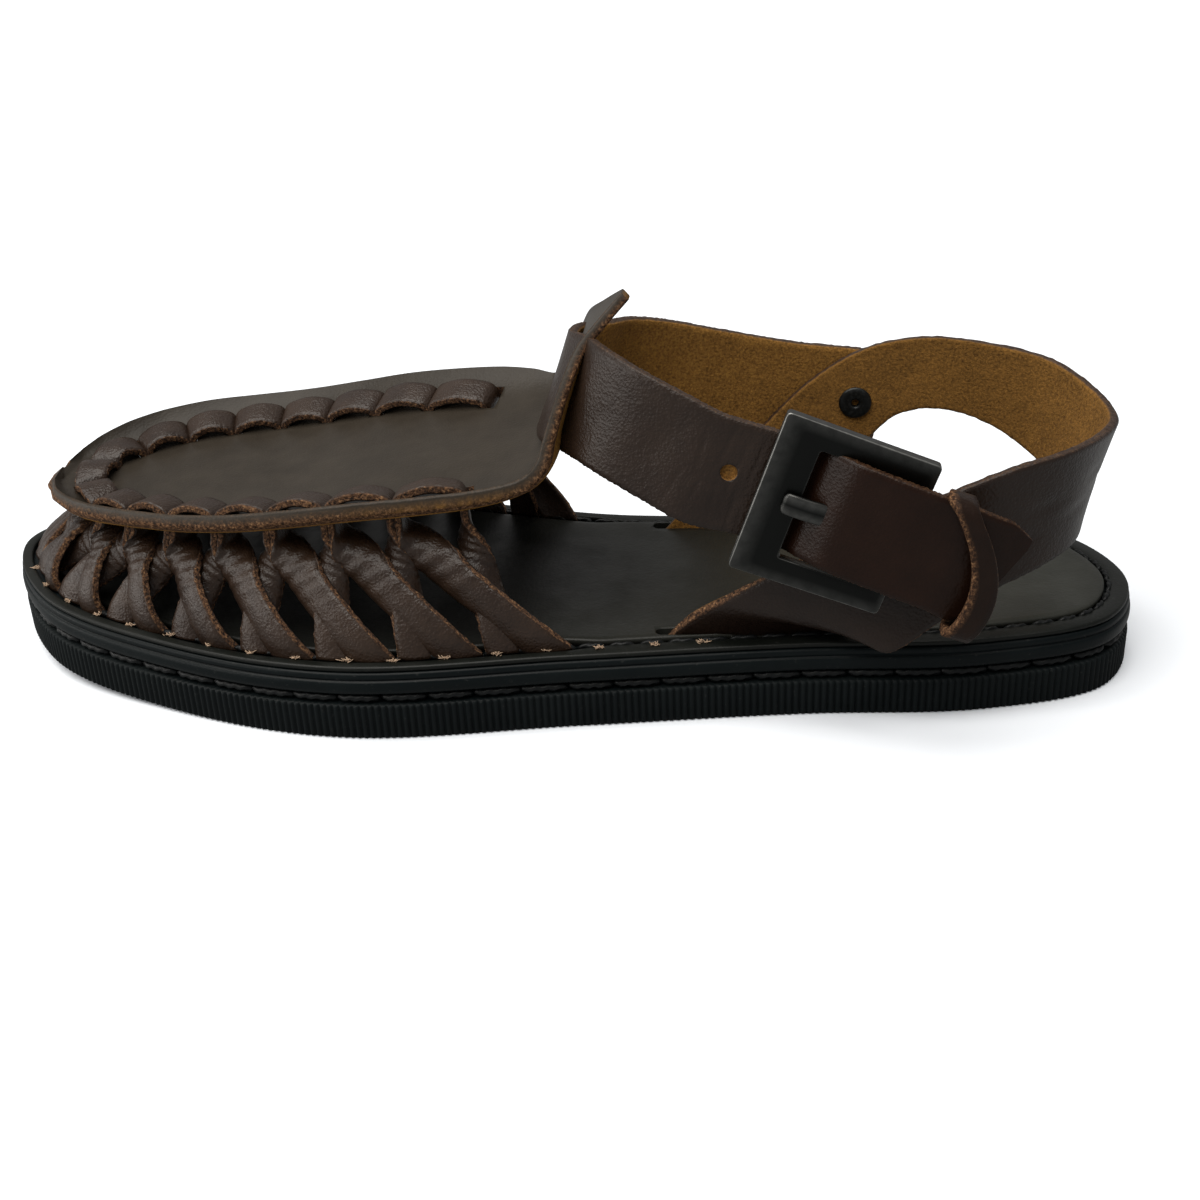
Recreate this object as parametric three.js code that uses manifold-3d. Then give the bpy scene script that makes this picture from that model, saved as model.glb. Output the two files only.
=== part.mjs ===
import * as THREE from "three";
import { mergeVertices } from "three/addons/utils/BufferGeometryUtils.js";
import Module from "manifold-3d";

const wasm = await Module();
wasm.setup();

// Left sandal in millimetres. Toe at -X, heel at +X, lateral side at -Y, floor at Z 0.
const BOX_CENTRE = 2.65; // from the foot's own line to the middle of the box, across
const FIT = 0.35; // gap between pieces that meet

// Sole layers, heights over the floor where the sole is flat
const OUTSOLE_HEIGHT = 9.2;
const RIB_PITCH = 5;
const RIB_DEPTH = 0.5;
const GROOVE_TOP = 11.8;
const GROOVE_DEPTH = 2.4;
const MIDSOLE_TOP = 17.6;
const WELT_TOP = 19.0;
const INSOLE_TOP = 19.6;
const WELT_INSET = 0.8;
const CHANNEL_INSET = 6.0;
const TOE_SPRING = 4.5;
const SPRING_START = -60;
const TOE_END = -145.5;

// Leather
const VAMP_THICKNESS = 3.5;
const VAMP_CURL = 6; // power of the dish: flat in the middle, turned up at the rim
const STRAP_THICKNESS = 2.4;
const STRAP_WIDTH = 25.8;
const LACE_WIDTH = 8;
const LACE_THICKNESS = 2;
const LACE_RIM = 8.8; // lace line from the edge of the plug
const SLOT_COUNT = 18;
const FOOT_COUNT = 34;

// Buckle
const BAR_RADIUS = 1.5;
const FRAME_LENGTH = 35;
const FRAME_HEIGHT = 38.4;
const FRAME_THICKNESS = 3;
const FRONT_BAR = 9.6;
const ARM_FRONT = 5.9;
const ARM_REAR = 4.8;
const CHAPE_THICKNESS = 1.6;
const CHAPE_WIDTH = 16;
const KEEPER_WIDTH = 6;
const KEEPER_SKEW = 0.36; // run of the loop for its height
const KEEPER_BOW = 5.5; // its middle behind its ends
const KEEPER_THICKNESS = 1.7;

// Plan of the outsole: toe tip, down the lateral side, round the heel, up the medial side
const OUTLINE = [
  { along: -145.5, across: 6.7 },
  { along: -127.5, across: -24.6 },
  { along: -89.8, across: -43.9 },
  { along: -43.4, across: -54.7 },
  { along: 11.2, across: -47.5 },
  { along: 63.5, across: -40.2 },
  { along: 107.3, across: -36.3 },
  { along: 137, across: -24.4 },
  { along: 145.5, across: -1.8 },
  { along: 133.6, across: 24.4 },
  { along: 104.7, across: 34.9 },
  { along: 61.7, across: 36.3 },
  { along: 14.6, across: 36.3 },
  { along: -30.3, across: 45.7 },
  { along: -70, across: 52.6 },
  { along: -109.7, across: 45.2 },
  { along: -134.4, across: 29.4 },
];

// Half width of the stitched channel, wide where lace or strap go down into it
const CHANNEL = [
  { along: -150, half: 2.5 },
  { along: -100, half: 2.2 },
  { along: 10, half: 2.2 },
  { along: 18, half: 0.6 },
  { along: 150, half: 0.6 },
];

// Vamp sections from the toe of the plug to the top of the tongue
const VAMP = [
  { along: -128.6, height: 46.2, lateral: 3, medial: 7, rise: 0, dish: 6, thick: 3.5 },
  { along: -127.4, height: 46.6, lateral: -4.5, medial: 13.5, rise: 1, dish: 6, thick: 3.5 },
  { along: -124, height: 47.6, lateral: -11.5, medial: 19, rise: 2.6, dish: 6, thick: 3.5 },
  { along: -118, height: 48.8, lateral: -18.2, medial: 24.8, rise: 4, dish: 6, thick: 3.5 },
  { along: -110, height: 49.9, lateral: -24.5, medial: 30, rise: 4.6, dish: 6, thick: 3.5 },
  { along: -98, height: 50.8, lateral: -30, medial: 35, rise: 5, dish: 6, thick: 3.5 },
  { along: -84, height: 51.5, lateral: -34.8, medial: 38, rise: 4.8, dish: 6, thick: 3.5 },
  { along: -70, height: 52.8, lateral: -38, medial: 39, rise: 4.6, dish: 6, thick: 3.5 },
  { along: -55, height: 55.3, lateral: -40.5, medial: 37.5, rise: 5, dish: 6, thick: 3.5 },
  { along: -40, height: 58, lateral: -41.8, medial: 34.5, rise: 6, dish: 6, thick: 3.5 },
  { along: -26, height: 59.6, lateral: -41, medial: 31.5, rise: 7, dish: 6, thick: 3.5 },
  { along: -14, height: 60.5, lateral: -39, medial: 29, rise: 7.6, dish: 5.6, thick: 3.5 },
  { along: -5.4, height: 61, lateral: -37, medial: 26.5, rise: 7, dish: 4.6, thick: 3.4 },
  { along: 0.4, height: 61.6, lateral: -35.6, medial: 24.3, rise: 5, dish: 3, thick: 3.2 },
  { along: 3.4, height: 63.8, lateral: -34.8, medial: 23.5, rise: 3.5, dish: 1.8, thick: 2.9 },
  { along: 5.2, height: 68.2, lateral: -33.5, medial: 23, rise: 2, dish: 1, thick: 2.6 },
  { along: 7, height: 73.2, lateral: -31.5, medial: 21.8, rise: 1, dish: 1, thick: 2.4 },
  { along: 9.4, height: 79.6, lateral: -28.2, medial: 17.5, rise: 0.5, dish: 1, thick: 2.4 },
  { along: 12.4, height: 85.6, lateral: -24, medial: 8.5, rise: 0, dish: 0.8, thick: 2.4 },
  { along: 16.9, height: 90.6, lateral: -20, medial: -2, rise: 0, dish: 0.6, thick: 2.4 },
  { along: 20.6, height: 94.2, lateral: -16.6, medial: -8.5, rise: 0, dish: 0.4, thick: 2.4 },
  { along: 22.4, height: 95.8, lateral: -14.6, medial: -11.4, rise: 0, dish: 0, thick: 2.4 },
];
const LACE_REAR_LATERAL = -14;
const LACE_REAR_MEDIAL = -16;
const LACE_TOE_EASE = 0.12; // stitches shorter round the toe
const FOOT_REAR_LATERAL = 6;
const FOOT_REAR_MEDIAL = 0;

// Heel strap from the lateral slot round the heel to the medial slot: its lower and its upper edge
const HEEL = [
  { lowAlong: 74, lowAcross: -29, lowHeight: 14.5, highAlong: 30, highAcross: -34, highHeight: 14.5 },
  { lowAlong: 75.5, lowAcross: -32.2, lowHeight: 22.4, highAlong: 37, highAcross: -35.8, highHeight: 22.8 },
  { lowAlong: 79, lowAcross: -40.6, lowHeight: 21.6, highAlong: 46, highAcross: -38.6, highHeight: 30 },
  { lowAlong: 83.5, lowAcross: -44.8, lowHeight: 20.2, highAlong: 58, highAcross: -40.2, highHeight: 38 },
  { lowAlong: 95, lowAcross: -42.6, lowHeight: 27.2, highAlong: 75, highAcross: -40.8, highHeight: 47.4 },
  { lowAlong: 106.5, lowAcross: -39.6, lowHeight: 33.8, highAlong: 93, highAcross: -40.4, highHeight: 56.2 },
  { lowAlong: 116.5, lowAcross: -34.6, lowHeight: 37, highAlong: 108, highAcross: -37.8, highHeight: 61.8 },
  { lowAlong: 124.5, lowAcross: -26, lowHeight: 38.5, highAlong: 122, highAcross: -29.8, highHeight: 63.2 },
  { lowAlong: 129, lowAcross: -13, lowHeight: 38.5, highAlong: 132.8, highAcross: -14.5, highHeight: 62 },
  { lowAlong: 130.5, lowAcross: 0, lowHeight: 37.5, highAlong: 137.6, highAcross: 0, highHeight: 61 },
  { lowAlong: 129.5, lowAcross: 13, lowHeight: 37.5, highAlong: 135, highAcross: 13.5, highHeight: 63 },
  { lowAlong: 124.5, lowAcross: 26, lowHeight: 40.5, highAlong: 126.5, highAcross: 26, highHeight: 66.2 },
  { lowAlong: 113.5, lowAcross: 33, lowHeight: 46.6, highAlong: 112, highAcross: 34, highHeight: 68 },
  { lowAlong: 101, lowAcross: 35.6, lowHeight: 49.8, highAlong: 96, highAcross: 37.2, highHeight: 68.8 },
  { lowAlong: 90, lowAcross: 36.4, lowHeight: 48, highAlong: 80.5, highAcross: 37.8, highHeight: 65.6 },
  { lowAlong: 81, lowAcross: 36.2, lowHeight: 39.6, highAlong: 66.5, highAcross: 36.6, highHeight: 57.2 },
  { lowAlong: 73, lowAcross: 34.4, lowHeight: 30.6, highAlong: 54, highAcross: 34.6, highHeight: 45 },
  { lowAlong: 66, lowAcross: 29.4, lowHeight: 23.4, highAlong: 39, highAcross: 29.6, highHeight: 30 },
  { lowAlong: 60, lowAcross: 25.2, lowHeight: 14.5, highAlong: 24, highAcross: 24.8, highHeight: 14.5 },
];

// Instep strap from its medial end, through the tongue, to the buckle. Lean is its top edge outward, in degrees
const INSTEP = [
  { along: 86, across: 40.9, height: 49.6, lean: 2, half: 10 },
  { along: 83, across: 41, height: 50.2, lean: 2, half: 13 },
  { along: 78.7, across: 41, height: 51, lean: 2, half: 13.5 },
  { along: 60, across: 39.2, height: 53.8, lean: 0, half: 13.5 },
  { along: 40, across: 35, height: 58.8, lean: -2, half: 13.5 },
  { along: 25, across: 30.8, height: 63.2, lean: -8, half: 13.5 },
  { along: 16, across: 25, height: 65.8, lean: -16, half: 13.5 },
  { along: 11, across: 15, height: 68, lean: -20, half: 13.5 },
  { along: 5.4, across: 5.5, height: 69.9, lean: -20.5, half: 13.5 },
  { along: 5.3, across: -5, height: 71.5, lean: -20.5, half: 13.5 },
  { along: 6.8, across: -13.5, height: 73, lean: -20.5, half: 13.5 },
  { along: 11.8, across: -22.5, height: 74.4, lean: -19, half: 13.5 },
  { along: 16, across: -30, height: 74.6, lean: -14, half: 13.5 },
  { along: 23, across: -36.6, height: 72.6, lean: -8, half: 13.5 },
  { along: 33, across: -40.4, height: 68.2, lean: -4, half: 13.5 },
  { along: 42, across: -42.6, height: 64, lean: -2, half: 13.5 },
];

// The same strap in the buckle: run back from the bar, lift outward from it, halves of its width to the tip
const BUCKLE_RUN = [
  { run: -34, lift: -3.3, upper: 13, lower: 13 },
  { run: -24.6, lift: -3.6, upper: 12.9, lower: 12.9 },
  { run: -19.2, lift: 0.5, upper: 12.9, lower: 12.9 },
  { run: -14.8, lift: 3.4, upper: 12.9, lower: 12.9 },
  { run: -8, lift: 4.8, upper: 12.9, lower: 12.9 },
  { run: 0, lift: 5.6, upper: 12.9, lower: 12.9 },
  { run: 8.8, lift: 5.6, upper: 12.9, lower: 12.9 },
  { run: 16, lift: 4.9, upper: 12.9, lower: 12.9 },
  { run: 19.5, lift: 4.2, upper: 12.9, lower: 7 },
  { run: 24.6, lift: 3, upper: 10.6, lower: -8.6 },
];
const BAR_CENTRE = new THREE.Vector3(85.2, -47.2, 49.6);
const BUCKLE_SIDE = 0; // middle of the strap below the middle of the frame
const BUCKLE_AXIS = new THREE.Vector3(0.942, -0.03, -0.335).normalize();
const BUCKLE_UP = new THREE.Vector3(0.335, 0, 0.942);

const UP = new THREE.Vector3(0, 0, 1);

function spring(along) {
  const share = Math.max(0, (SPRING_START - along) / (SPRING_START - TOE_END));
  return TOE_SPRING * share * share;
}

function table(rows, key, value, column) {
  let i = 1;
  while (i < rows.length - 1 && rows[i][key] < value) i++;
  const share = (value - rows[i - 1][key]) / (rows[i][key] - rows[i - 1][key]);
  return rows[i - 1][column] + share * (rows[i][column] - rows[i - 1][column]);
}

// Closed solid through rings of equal count. A closed run joins its last ring to its first
function solid(rings, closed = false) {
  const count = rings[0].length;
  const index = [];
  const turns = closed ? rings.length : rings.length - 1;
  for (let r = 0; r < turns; r++) {
    const here = r * count;
    const next = ((r + 1) % rings.length) * count;
    for (let i = 0; i < count; i++) {
      const j = (i + 1) % count;
      index.push(here + i, here + j, next + j, here + i, next + j, next + i);
    }
  }
  if (!closed) {
    const last = (rings.length - 1) * count;
    for (let i = 0; i < count / 2; i++) {
      const corners = [i, i + 1, count - i - 1, (count - i) % count];
      for (const [a, b, c] of [[0, 1, 2], [0, 2, 3]]) {
        const [p, q, s] = [corners[a], corners[b], corners[c]];
        if (p === q || q === s || p === s) continue;
        index.push(s, q, p, last + p, last + q, last + s);
      }
    }
  }
  const geometry = new THREE.BufferGeometry();
  const position = rings.flat().flatMap((p) => [p.x, p.y, p.z]);
  geometry.setAttribute("position", new THREE.Float32BufferAttribute(position, 3));
  geometry.setIndex(index);
  return faceOut(geometry);
}

function faceOut(geometry) {
  const position = geometry.getAttribute("position");
  const index = geometry.getIndex().array;
  const [a, b, c] = [new THREE.Vector3(), new THREE.Vector3(), new THREE.Vector3()];
  let volume = 0;
  for (let i = 0; i < index.length; i += 3) {
    a.fromBufferAttribute(position, index[i]);
    b.fromBufferAttribute(position, index[i + 1]);
    c.fromBufferAttribute(position, index[i + 2]);
    volume += a.dot(b.cross(c));
  }
  if (volume < 0) {
    for (let i = 0; i < index.length; i += 3) {
      [index[i], index[i + 1]] = [index[i + 1], index[i]];
    }
  }
  return geometry;
}

function body(geometry) {
  const position = geometry.getAttribute("position").array;
  const triangles = geometry.getIndex().array;
  return new wasm.Manifold(
    new wasm.Mesh({
      numProp: 3,
      vertProperties: new Float32Array(position),
      triVerts: new Uint32Array(triangles),
    }),
  );
}

function shape(manifold) {
  const mesh = manifold.getMesh();
  const geometry = new THREE.BufferGeometry();
  geometry.setAttribute("position", new THREE.Float32BufferAttribute(mesh.vertProperties, 3));
  geometry.setIndex(Array.from(mesh.triVerts));
  return geometry;
}

// Sole
const outline = new THREE.CatmullRomCurve3(
  OUTLINE.map((row) => new THREE.Vector3(row.along, row.across, 0)),
  true,
);
outline.arcLengthDivisions = 3000;

function planPoint(share, inset) {
  const point = outline.getPointAt(share);
  const tangent = outline.getTangentAt(share);
  return new THREE.Vector3(point.x - tangent.y * inset, point.y + tangent.x * inset, 0);
}

function soleRing(count, height, insetAt) {
  const ring = [];
  for (let i = 0; i < count; i++) {
    const share = i / count;
    const point = planPoint(share, insetAt(i, outline.getPointAt(share).x));
    point.z = height + spring(point.x);
    ring.push(point);
  }
  return ring;
}

function makeOutsole() {
  const ribs = Math.round(outline.getLength() / RIB_PITCH);
  const ribbed = (i) => (i % 2) * RIB_DEPTH;
  const plain = () => 4 * RIB_DEPTH;
  return solid([
    soleRing(2 * ribs, 0, plain),
    soleRing(2 * ribs, 0, ribbed),
    soleRing(2 * ribs, OUTSOLE_HEIGHT, ribbed),
    soleRing(2 * ribs, OUTSOLE_HEIGHT, plain),
  ]);
}

const SMOOTH = 62;

function makeMidsole() {
  const levels = [
    [OUTSOLE_HEIGHT + FIT, GROOVE_DEPTH],
    [GROOVE_TOP, GROOVE_DEPTH],
    [GROOVE_TOP + 0.1, 0.5],
    [GROOVE_TOP + 0.8, 0],
    [15.4, 0],
    [15.8, 0.5],
    [MIDSOLE_TOP, 0.7],
  ];
  return solid(levels.map(([height, inset]) => soleRing(SMOOTH, height, () => inset)));
}

function channelHalf(along) {
  return table(CHANNEL, "along", along, "half");
}

function makeWelt() {
  const inner = (i, along) => CHANNEL_INSET - channelHalf(along);
  const low = MIDSOLE_TOP + FIT;
  return solid(
    [
      soleRing(SMOOTH, low, () => WELT_INSET),
      soleRing(SMOOTH, WELT_TOP - 0.4, () => WELT_INSET),
      soleRing(SMOOTH, WELT_TOP, () => WELT_INSET + 0.6),
      soleRing(SMOOTH, WELT_TOP, inner),
      soleRing(SMOOTH, low, inner),
    ],
    true,
  );
}

function makeInsole() {
  const edge = (i, along) => CHANNEL_INSET + channelHalf(along);
  return solid([
    soleRing(SMOOTH, MIDSOLE_TOP + FIT, edge),
    soleRing(SMOOTH, INSOLE_TOP - 0.5, edge),
    soleRing(SMOOTH, INSOLE_TOP, (i, along) => edge(i, along) + 0.7),
  ]);
}

// Vamp
const vampProfile = new THREE.CatmullRomCurve3(VAMP.map((row) => new THREE.Vector3(row.along, 0, row.height)));
const vampEdges = new THREE.CatmullRomCurve3(
  VAMP.map((row) => new THREE.Vector3(row.lateral, row.medial, row.rise)),
);
const vampLeather = new THREE.CatmullRomCurve3(VAMP.map((row) => new THREE.Vector3(row.dish, row.thick, 0)));

function vampPoint(t, across) {
  const centre = vampProfile.getPoint(t);
  const edges = vampEdges.getPoint(t);
  const share = (across + 1) / 2;
  const sag = vampLeather.getPoint(t).x * (1 - Math.abs(across) ** VAMP_CURL) * Math.min(1, (edges.y - edges.x) / 50);
  const tangent = vampProfile.getTangent(t);
  return new THREE.Vector3(
    centre.x + sag * tangent.z,
    edges.x + share * (edges.y - edges.x),
    centre.z + edges.z * (share - 0.5) - sag * tangent.x,
  );
}

function vampFrame(t, across) {
  const step = 1e-3;
  const t0 = Math.max(0, t - step);
  const t1 = Math.min(1, t + step);
  const along = vampPoint(t1, across).sub(vampPoint(t0, across)).normalize();
  const side = vampPoint(t, Math.min(1, across + step)).sub(vampPoint(t, Math.max(-1, across - step))).normalize();
  return along.cross(side).normalize();
}

function makeVamp() {
  const rings = [];
  const sections = 27;
  const columns = [-1, -0.89, -0.76, -0.55, 0, 0.55, 0.76, 0.89, 1];
  for (let s = 0; s <= sections; s++) {
    const t = s / sections;
    const top = [];
    const under = [];
    for (const across of columns) {
      const point = vampPoint(t, across);
      top.push(point);
      const inner = Math.max(-0.72, Math.min(0.72, across));
      under.unshift(point.clone().addScaledVector(vampFrame(t, inner), -vampLeather.getPoint(t).y));
    }
    rings.push([...top, ...under]);
  }
  return solid(rings);
}

// Place on the plug from a plan point: the section that holds it and its share across
function plugAt(along, across) {
  let low = 0;
  let high = 0.65;
  for (let i = 0; i < 40; i++) {
    const middle = (low + high) / 2;
    if (vampProfile.getPoint(middle).x < along) low = middle;
    else high = middle;
  }
  const edges = vampEdges.getPoint(low);
  const share = (2 * (across - edges.x)) / (edges.y - edges.x) - 1;
  return { t: low, share: Math.max(-1, Math.min(1, share)) };
}

// Lace line, inset from the edge of the plug, from its lateral rear end round the toe to its medial rear end
function laceLine() {
  const edge = [];
  const steps = 160;
  for (let i = steps; i >= 0; i--) edge.push(vampPoint((0.64 * i) / steps, -1));
  for (let i = 1; i <= steps; i++) edge.push(vampPoint((0.64 * i) / steps, 1));
  const points = [];
  for (let i = 2; i < edge.length - 2; i++) {
    const way = edge[i + 2].clone().sub(edge[i - 2]).setZ(0).normalize();
    const inward = new THREE.Vector3(way.y, -way.x, 0);
    const plan = edge[i].clone().addScaledVector(inward, LACE_RIM);
    const tip = i > steps - 12 && i < steps + 12;
    const rear = i < steps ? LACE_REAR_LATERAL : LACE_REAR_MEDIAL;
    if (tip || plan.x > rear) continue;
    points.push(new THREE.Vector3(plan.x, plan.y, 0));
  }
  const line = new THREE.CatmullRomCurve3(points.filter((point, i) => i % 6 === 0 || i === points.length - 1));
  line.arcLengthDivisions = 1000;
  return line;
}

const lacePath = laceLine();

// Frame on the lace line at a share of its length: place on the leather, way along, outward, normal
function laceFrame(share) {
  const inside = Math.max(0, Math.min(1, share));
  const plan = lacePath.getPointAt(inside);
  const way = lacePath.getTangentAt(inside).setZ(0).normalize();
  plan.addScaledVector(way, (share - inside) * lacePath.getLength());
  const place = plugAt(plan.x, plan.y);
  const point = vampPoint(place.t, place.share);
  const normal = vampFrame(place.t, place.share);
  way.addScaledVector(normal, -way.dot(normal)).normalize();
  return { point: new THREE.Vector3(plan.x, plan.y, point.z), way, out: way.clone().cross(normal), normal };
}

function ribbon(stations) {
  return solid(
    stations.map(({ centre, wide, thick }) => [
      centre.clone().sub(wide).sub(thick),
      centre.clone().add(wide).sub(thick),
      centre.clone().add(wide).add(thick),
      centre.clone().sub(wide).add(thick),
    ]),
  );
}

// Each slot holds the ends of two stitches, side by side
const SLOT_OFFSET = LACE_THICKNESS / 2 - 0.15;

function slotShare(slot) {
  const even = (2 * slot) / (SLOT_COUNT - 1) - 1;
  return (1 + even * (1 - LACE_TOE_EASE * (1 - even * even))) / 2;
}

function outlineShareAt(along, lateral) {
  let low = lateral ? 0 : 0.5;
  let high = lateral ? 0.5 : 1;
  for (let i = 0; i < 40; i++) {
    const middle = (low + high) / 2;
    const ahead = outline.getPointAt(middle).x < along;
    if (ahead === lateral) low = middle;
    else high = middle;
  }
  return low;
}

const rearLateral = outlineShareAt(FOOT_REAR_LATERAL, true);
const rearMedial = outlineShareAt(FOOT_REAR_MEDIAL, false);

// Foot of a leg in the channel, counted from the lateral rear round the toe
function footFrame(foot) {
  const sweep = rearLateral + (1 - rearMedial);
  const share = (rearLateral - (sweep * foot) / (FOOT_COUNT - 1) + 1) % 1;
  const point = planPoint(share, CHANNEL_INSET);
  point.z = MIDSOLE_TOP + 2.6 * FIT + spring(point.x);
  const way = outline.getTangentAt(share).negate();
  const out = new THREE.Vector3(-way.y, way.x, 0);
  way.z = spring(point.x + way.x) - spring(point.x);
  return { point, way, out };
}

// Legs leaning to the heel end outside, legs leaning to the toe end inside
function legOf(slot, side) {
  const lateral = slot < SLOT_COUNT / 2;
  const order = lateral ? slot : SLOT_COUNT - 1 - slot;
  const heelward = lateral ? side < 0 : side > 0;
  const foot = heelward ? 2 * (order - 1) : 2 * order + 1;
  return { layer: heelward ? 1 : -1, end: footFrame(lateral ? foot : FOOT_COUNT - 1 - foot) };
}

// Stations of a leg from under its slot to the channel. It leans to its foot and turns flat on the way
const LEG_STEPS = [0.2, 0.32, 0.45, 0.62, 0.82, 1];
const LEG_TOP = -VAMP_THICKNESS - 1.3;

function laceLeg(slot, side) {
  const frame = laceFrame(slotShare(slot));
  const { layer, end } = legOf(slot, side);
  const start = frame.point.clone().addScaledVector(frame.normal, LEG_TOP);
  start.addScaledVector(frame.way, side * SLOT_OFFSET);
  const fall = end.point.clone().sub(start);
  const curve = new THREE.CubicBezierCurve3(
    start,
    start.clone().addScaledVector(fall, 0.3).addScaledVector(UP, -2.5).addScaledVector(end.out, 1 + 2.2 * layer),
    end.point.clone().addScaledVector(fall, -0.26).addScaledVector(UP, 2).addScaledVector(end.out, 2.4 + 1.6 * layer),
    end.point,
  );
  const lean = Math.hypot(fall.dot(end.way), fall.z) / Math.abs(fall.z);
  const flat = end.way.clone().multiplyScalar((side * lean * LACE_WIDTH) / 2);
  const steep = frame.out.clone().multiplyScalar(LACE_WIDTH / 2);
  return LEG_STEPS.map((t) => {
    const turn = (Math.PI / 2) * THREE.MathUtils.smoothstep(t, 0.05, 0.5);
    const wide = steep.clone().multiplyScalar(Math.cos(turn)).addScaledVector(flat, Math.sin(turn));
    return { centre: curve.getPoint(t), wide };
  });
}

// One raised stitch of the lace from a slot to the next, with the leg at each of its ends
const STITCH = [
  { share: 0, at: SLOT_OFFSET, lift: LEG_TOP },
  { share: 0, at: SLOT_OFFSET + 0.25, lift: 0.8 },
  { share: 0.25, at: 0.4, lift: 2.3 },
  { share: 0.5, at: 0, lift: 2.8 },
  { share: 0.75, at: -0.4, lift: 2.3 },
  { share: 1, at: -SLOT_OFFSET - 0.25, lift: 0.8 },
  { share: 1, at: -SLOT_OFFSET, lift: LEG_TOP },
];

function laceRun(slot) {
  const from = slotShare(slot);
  const to = slotShare(slot + 1);
  const stitch = STITCH.map(({ at, share, lift }) => {
    const frame = laceFrame(from + share * (to - from));
    const centre = frame.point.clone().addScaledVector(frame.normal, lift).addScaledVector(frame.way, at);
    return { centre, wide: frame.out.clone().multiplyScalar(LACE_WIDTH / 2) };
  });
  const places = [...laceLeg(slot, 1).reverse(), ...stitch, ...laceLeg(slot + 1, -1)];
  return ribbon(
    places.map(({ centre, wide }, i) => {
      const before = places[Math.max(0, i - 1)].centre;
      const after = places[Math.min(places.length - 1, i + 1)].centre;
      const run = after.clone().sub(before).normalize();
      return { centre, wide, thick: wide.clone().cross(run).setLength(LACE_THICKNESS / 2) };
    }),
  );
}

function makeWoven() {
  const runs = [];
  for (let slot = 0; slot < SLOT_COUNT - 1; slot++) runs.push(body(laceRun(slot)));
  return wasm.Manifold.union(runs);
}

function laceSlots() {
  const cuts = [];
  for (let slot = 0; slot < SLOT_COUNT; slot++) {
    const frame = laceFrame(slotShare(slot));
    const ends = [-VAMP_THICKNESS - 4, 3].map((lift) => ({
      centre: frame.point.clone().addScaledVector(frame.normal, lift),
      wide: frame.out.clone().multiplyScalar(LACE_WIDTH / 2 + FIT),
      thick: frame.way.clone().multiplyScalar(LACE_THICKNESS + FIT + 1),
    }));
    cuts.push(ribbon(ends));
  }
  return cuts;
}

// Straps
function strapStations(rows, steps) {
  const path = new THREE.CatmullRomCurve3(rows.map((row) => row.centre));
  const upper = new THREE.CatmullRomCurve3(rows.map((row) => row.upper));
  const lower = new THREE.CatmullRomCurve3(rows.map((row) => row.lower));
  const stations = [];
  for (let i = 0; i <= steps; i++) {
    const t = i / steps;
    const high = upper.getPoint(t);
    const low = lower.getPoint(t);
    const wide = high.clone().sub(low).multiplyScalar(0.5);
    const thick = path.getTangent(t).cross(wide).normalize();
    stations.push({ centre: high.add(low).multiplyScalar(0.5), wide, thick });
  }
  return stations;
}

function strapSolid(stations, grow = 0) {
  return ribbon(
    stations.map(({ centre, wide, thick }) => ({
      centre,
      wide: wide.clone().setLength(wide.length() + grow),
      thick: thick.clone().multiplyScalar(STRAP_THICKNESS / 2 + grow),
    })),
  );
}

function heelRows() {
  return HEEL.map((row) => {
    const lower = new THREE.Vector3(row.lowAlong, row.lowAcross, row.lowHeight);
    const upper = new THREE.Vector3(row.highAlong, row.highAcross, row.highHeight);
    return { lower, upper, centre: lower.clone().add(upper).multiplyScalar(0.5) };
  });
}

const BUCKLE_OUT = BUCKLE_AXIS.clone().cross(BUCKLE_UP).normalize();
const BUCKLE_SIDEWAYS = BUCKLE_OUT.clone().cross(BUCKLE_AXIS).normalize();

// Place in the buckle: run back from the bar, side up along it, lift outward
function inBuckle(run, side, lift) {
  return BAR_CENTRE.clone()
    .addScaledVector(BUCKLE_AXIS, run)
    .addScaledVector(BUCKLE_SIDEWAYS, side)
    .addScaledVector(BUCKLE_OUT, lift);
}

function instepRows() {
  const path = new THREE.CatmullRomCurve3([
    ...INSTEP.map((row) => new THREE.Vector3(row.along, row.across, row.height)),
    ...BUCKLE_RUN.map((row) => inBuckle(row.run, BUCKLE_SIDE, row.lift)),
  ]);
  const count = path.points.length;
  return path.points.map((centre, i) => {
    const way = path.getTangent(i / (count - 1));
    const high = UP.clone().addScaledVector(way, -way.z).normalize();
    const out = way.clone().cross(high);
    if (i >= INSTEP.length) {
      const row = BUCKLE_RUN[i - INSTEP.length];
      return {
        centre,
        upper: centre.clone().addScaledVector(BUCKLE_SIDEWAYS, row.upper),
        lower: centre.clone().addScaledVector(BUCKLE_SIDEWAYS, -row.lower),
      };
    }
    const lean = THREE.MathUtils.degToRad(INSTEP[i].lean);
    const wide = high.multiplyScalar(Math.cos(lean)).addScaledVector(out, Math.sin(lean));
    return {
      centre,
      upper: centre.clone().addScaledVector(wide, INSTEP[i].half),
      lower: centre.clone().addScaledVector(wide, -INSTEP[i].half),
    };
  });
}

// Round piece about an axis: rows of place along it and radius
function turned(origin, axis, rows, sides = 14) {
  const side = new THREE.Vector3(0, 0, 1).cross(axis).normalize();
  const other = axis.clone().cross(side);
  return solid(
    rows.map(({ at, radius }) => {
      const ring = [];
      for (let i = 0; i < sides; i++) {
        const angle = (2 * Math.PI * i) / sides;
        ring.push(
          origin
            .clone()
            .addScaledVector(axis, at)
            .addScaledVector(side, radius * Math.cos(angle))
            .addScaledVector(other, radius * Math.sin(angle)),
        );
      }
      return ring;
    }),
  );
}

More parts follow.
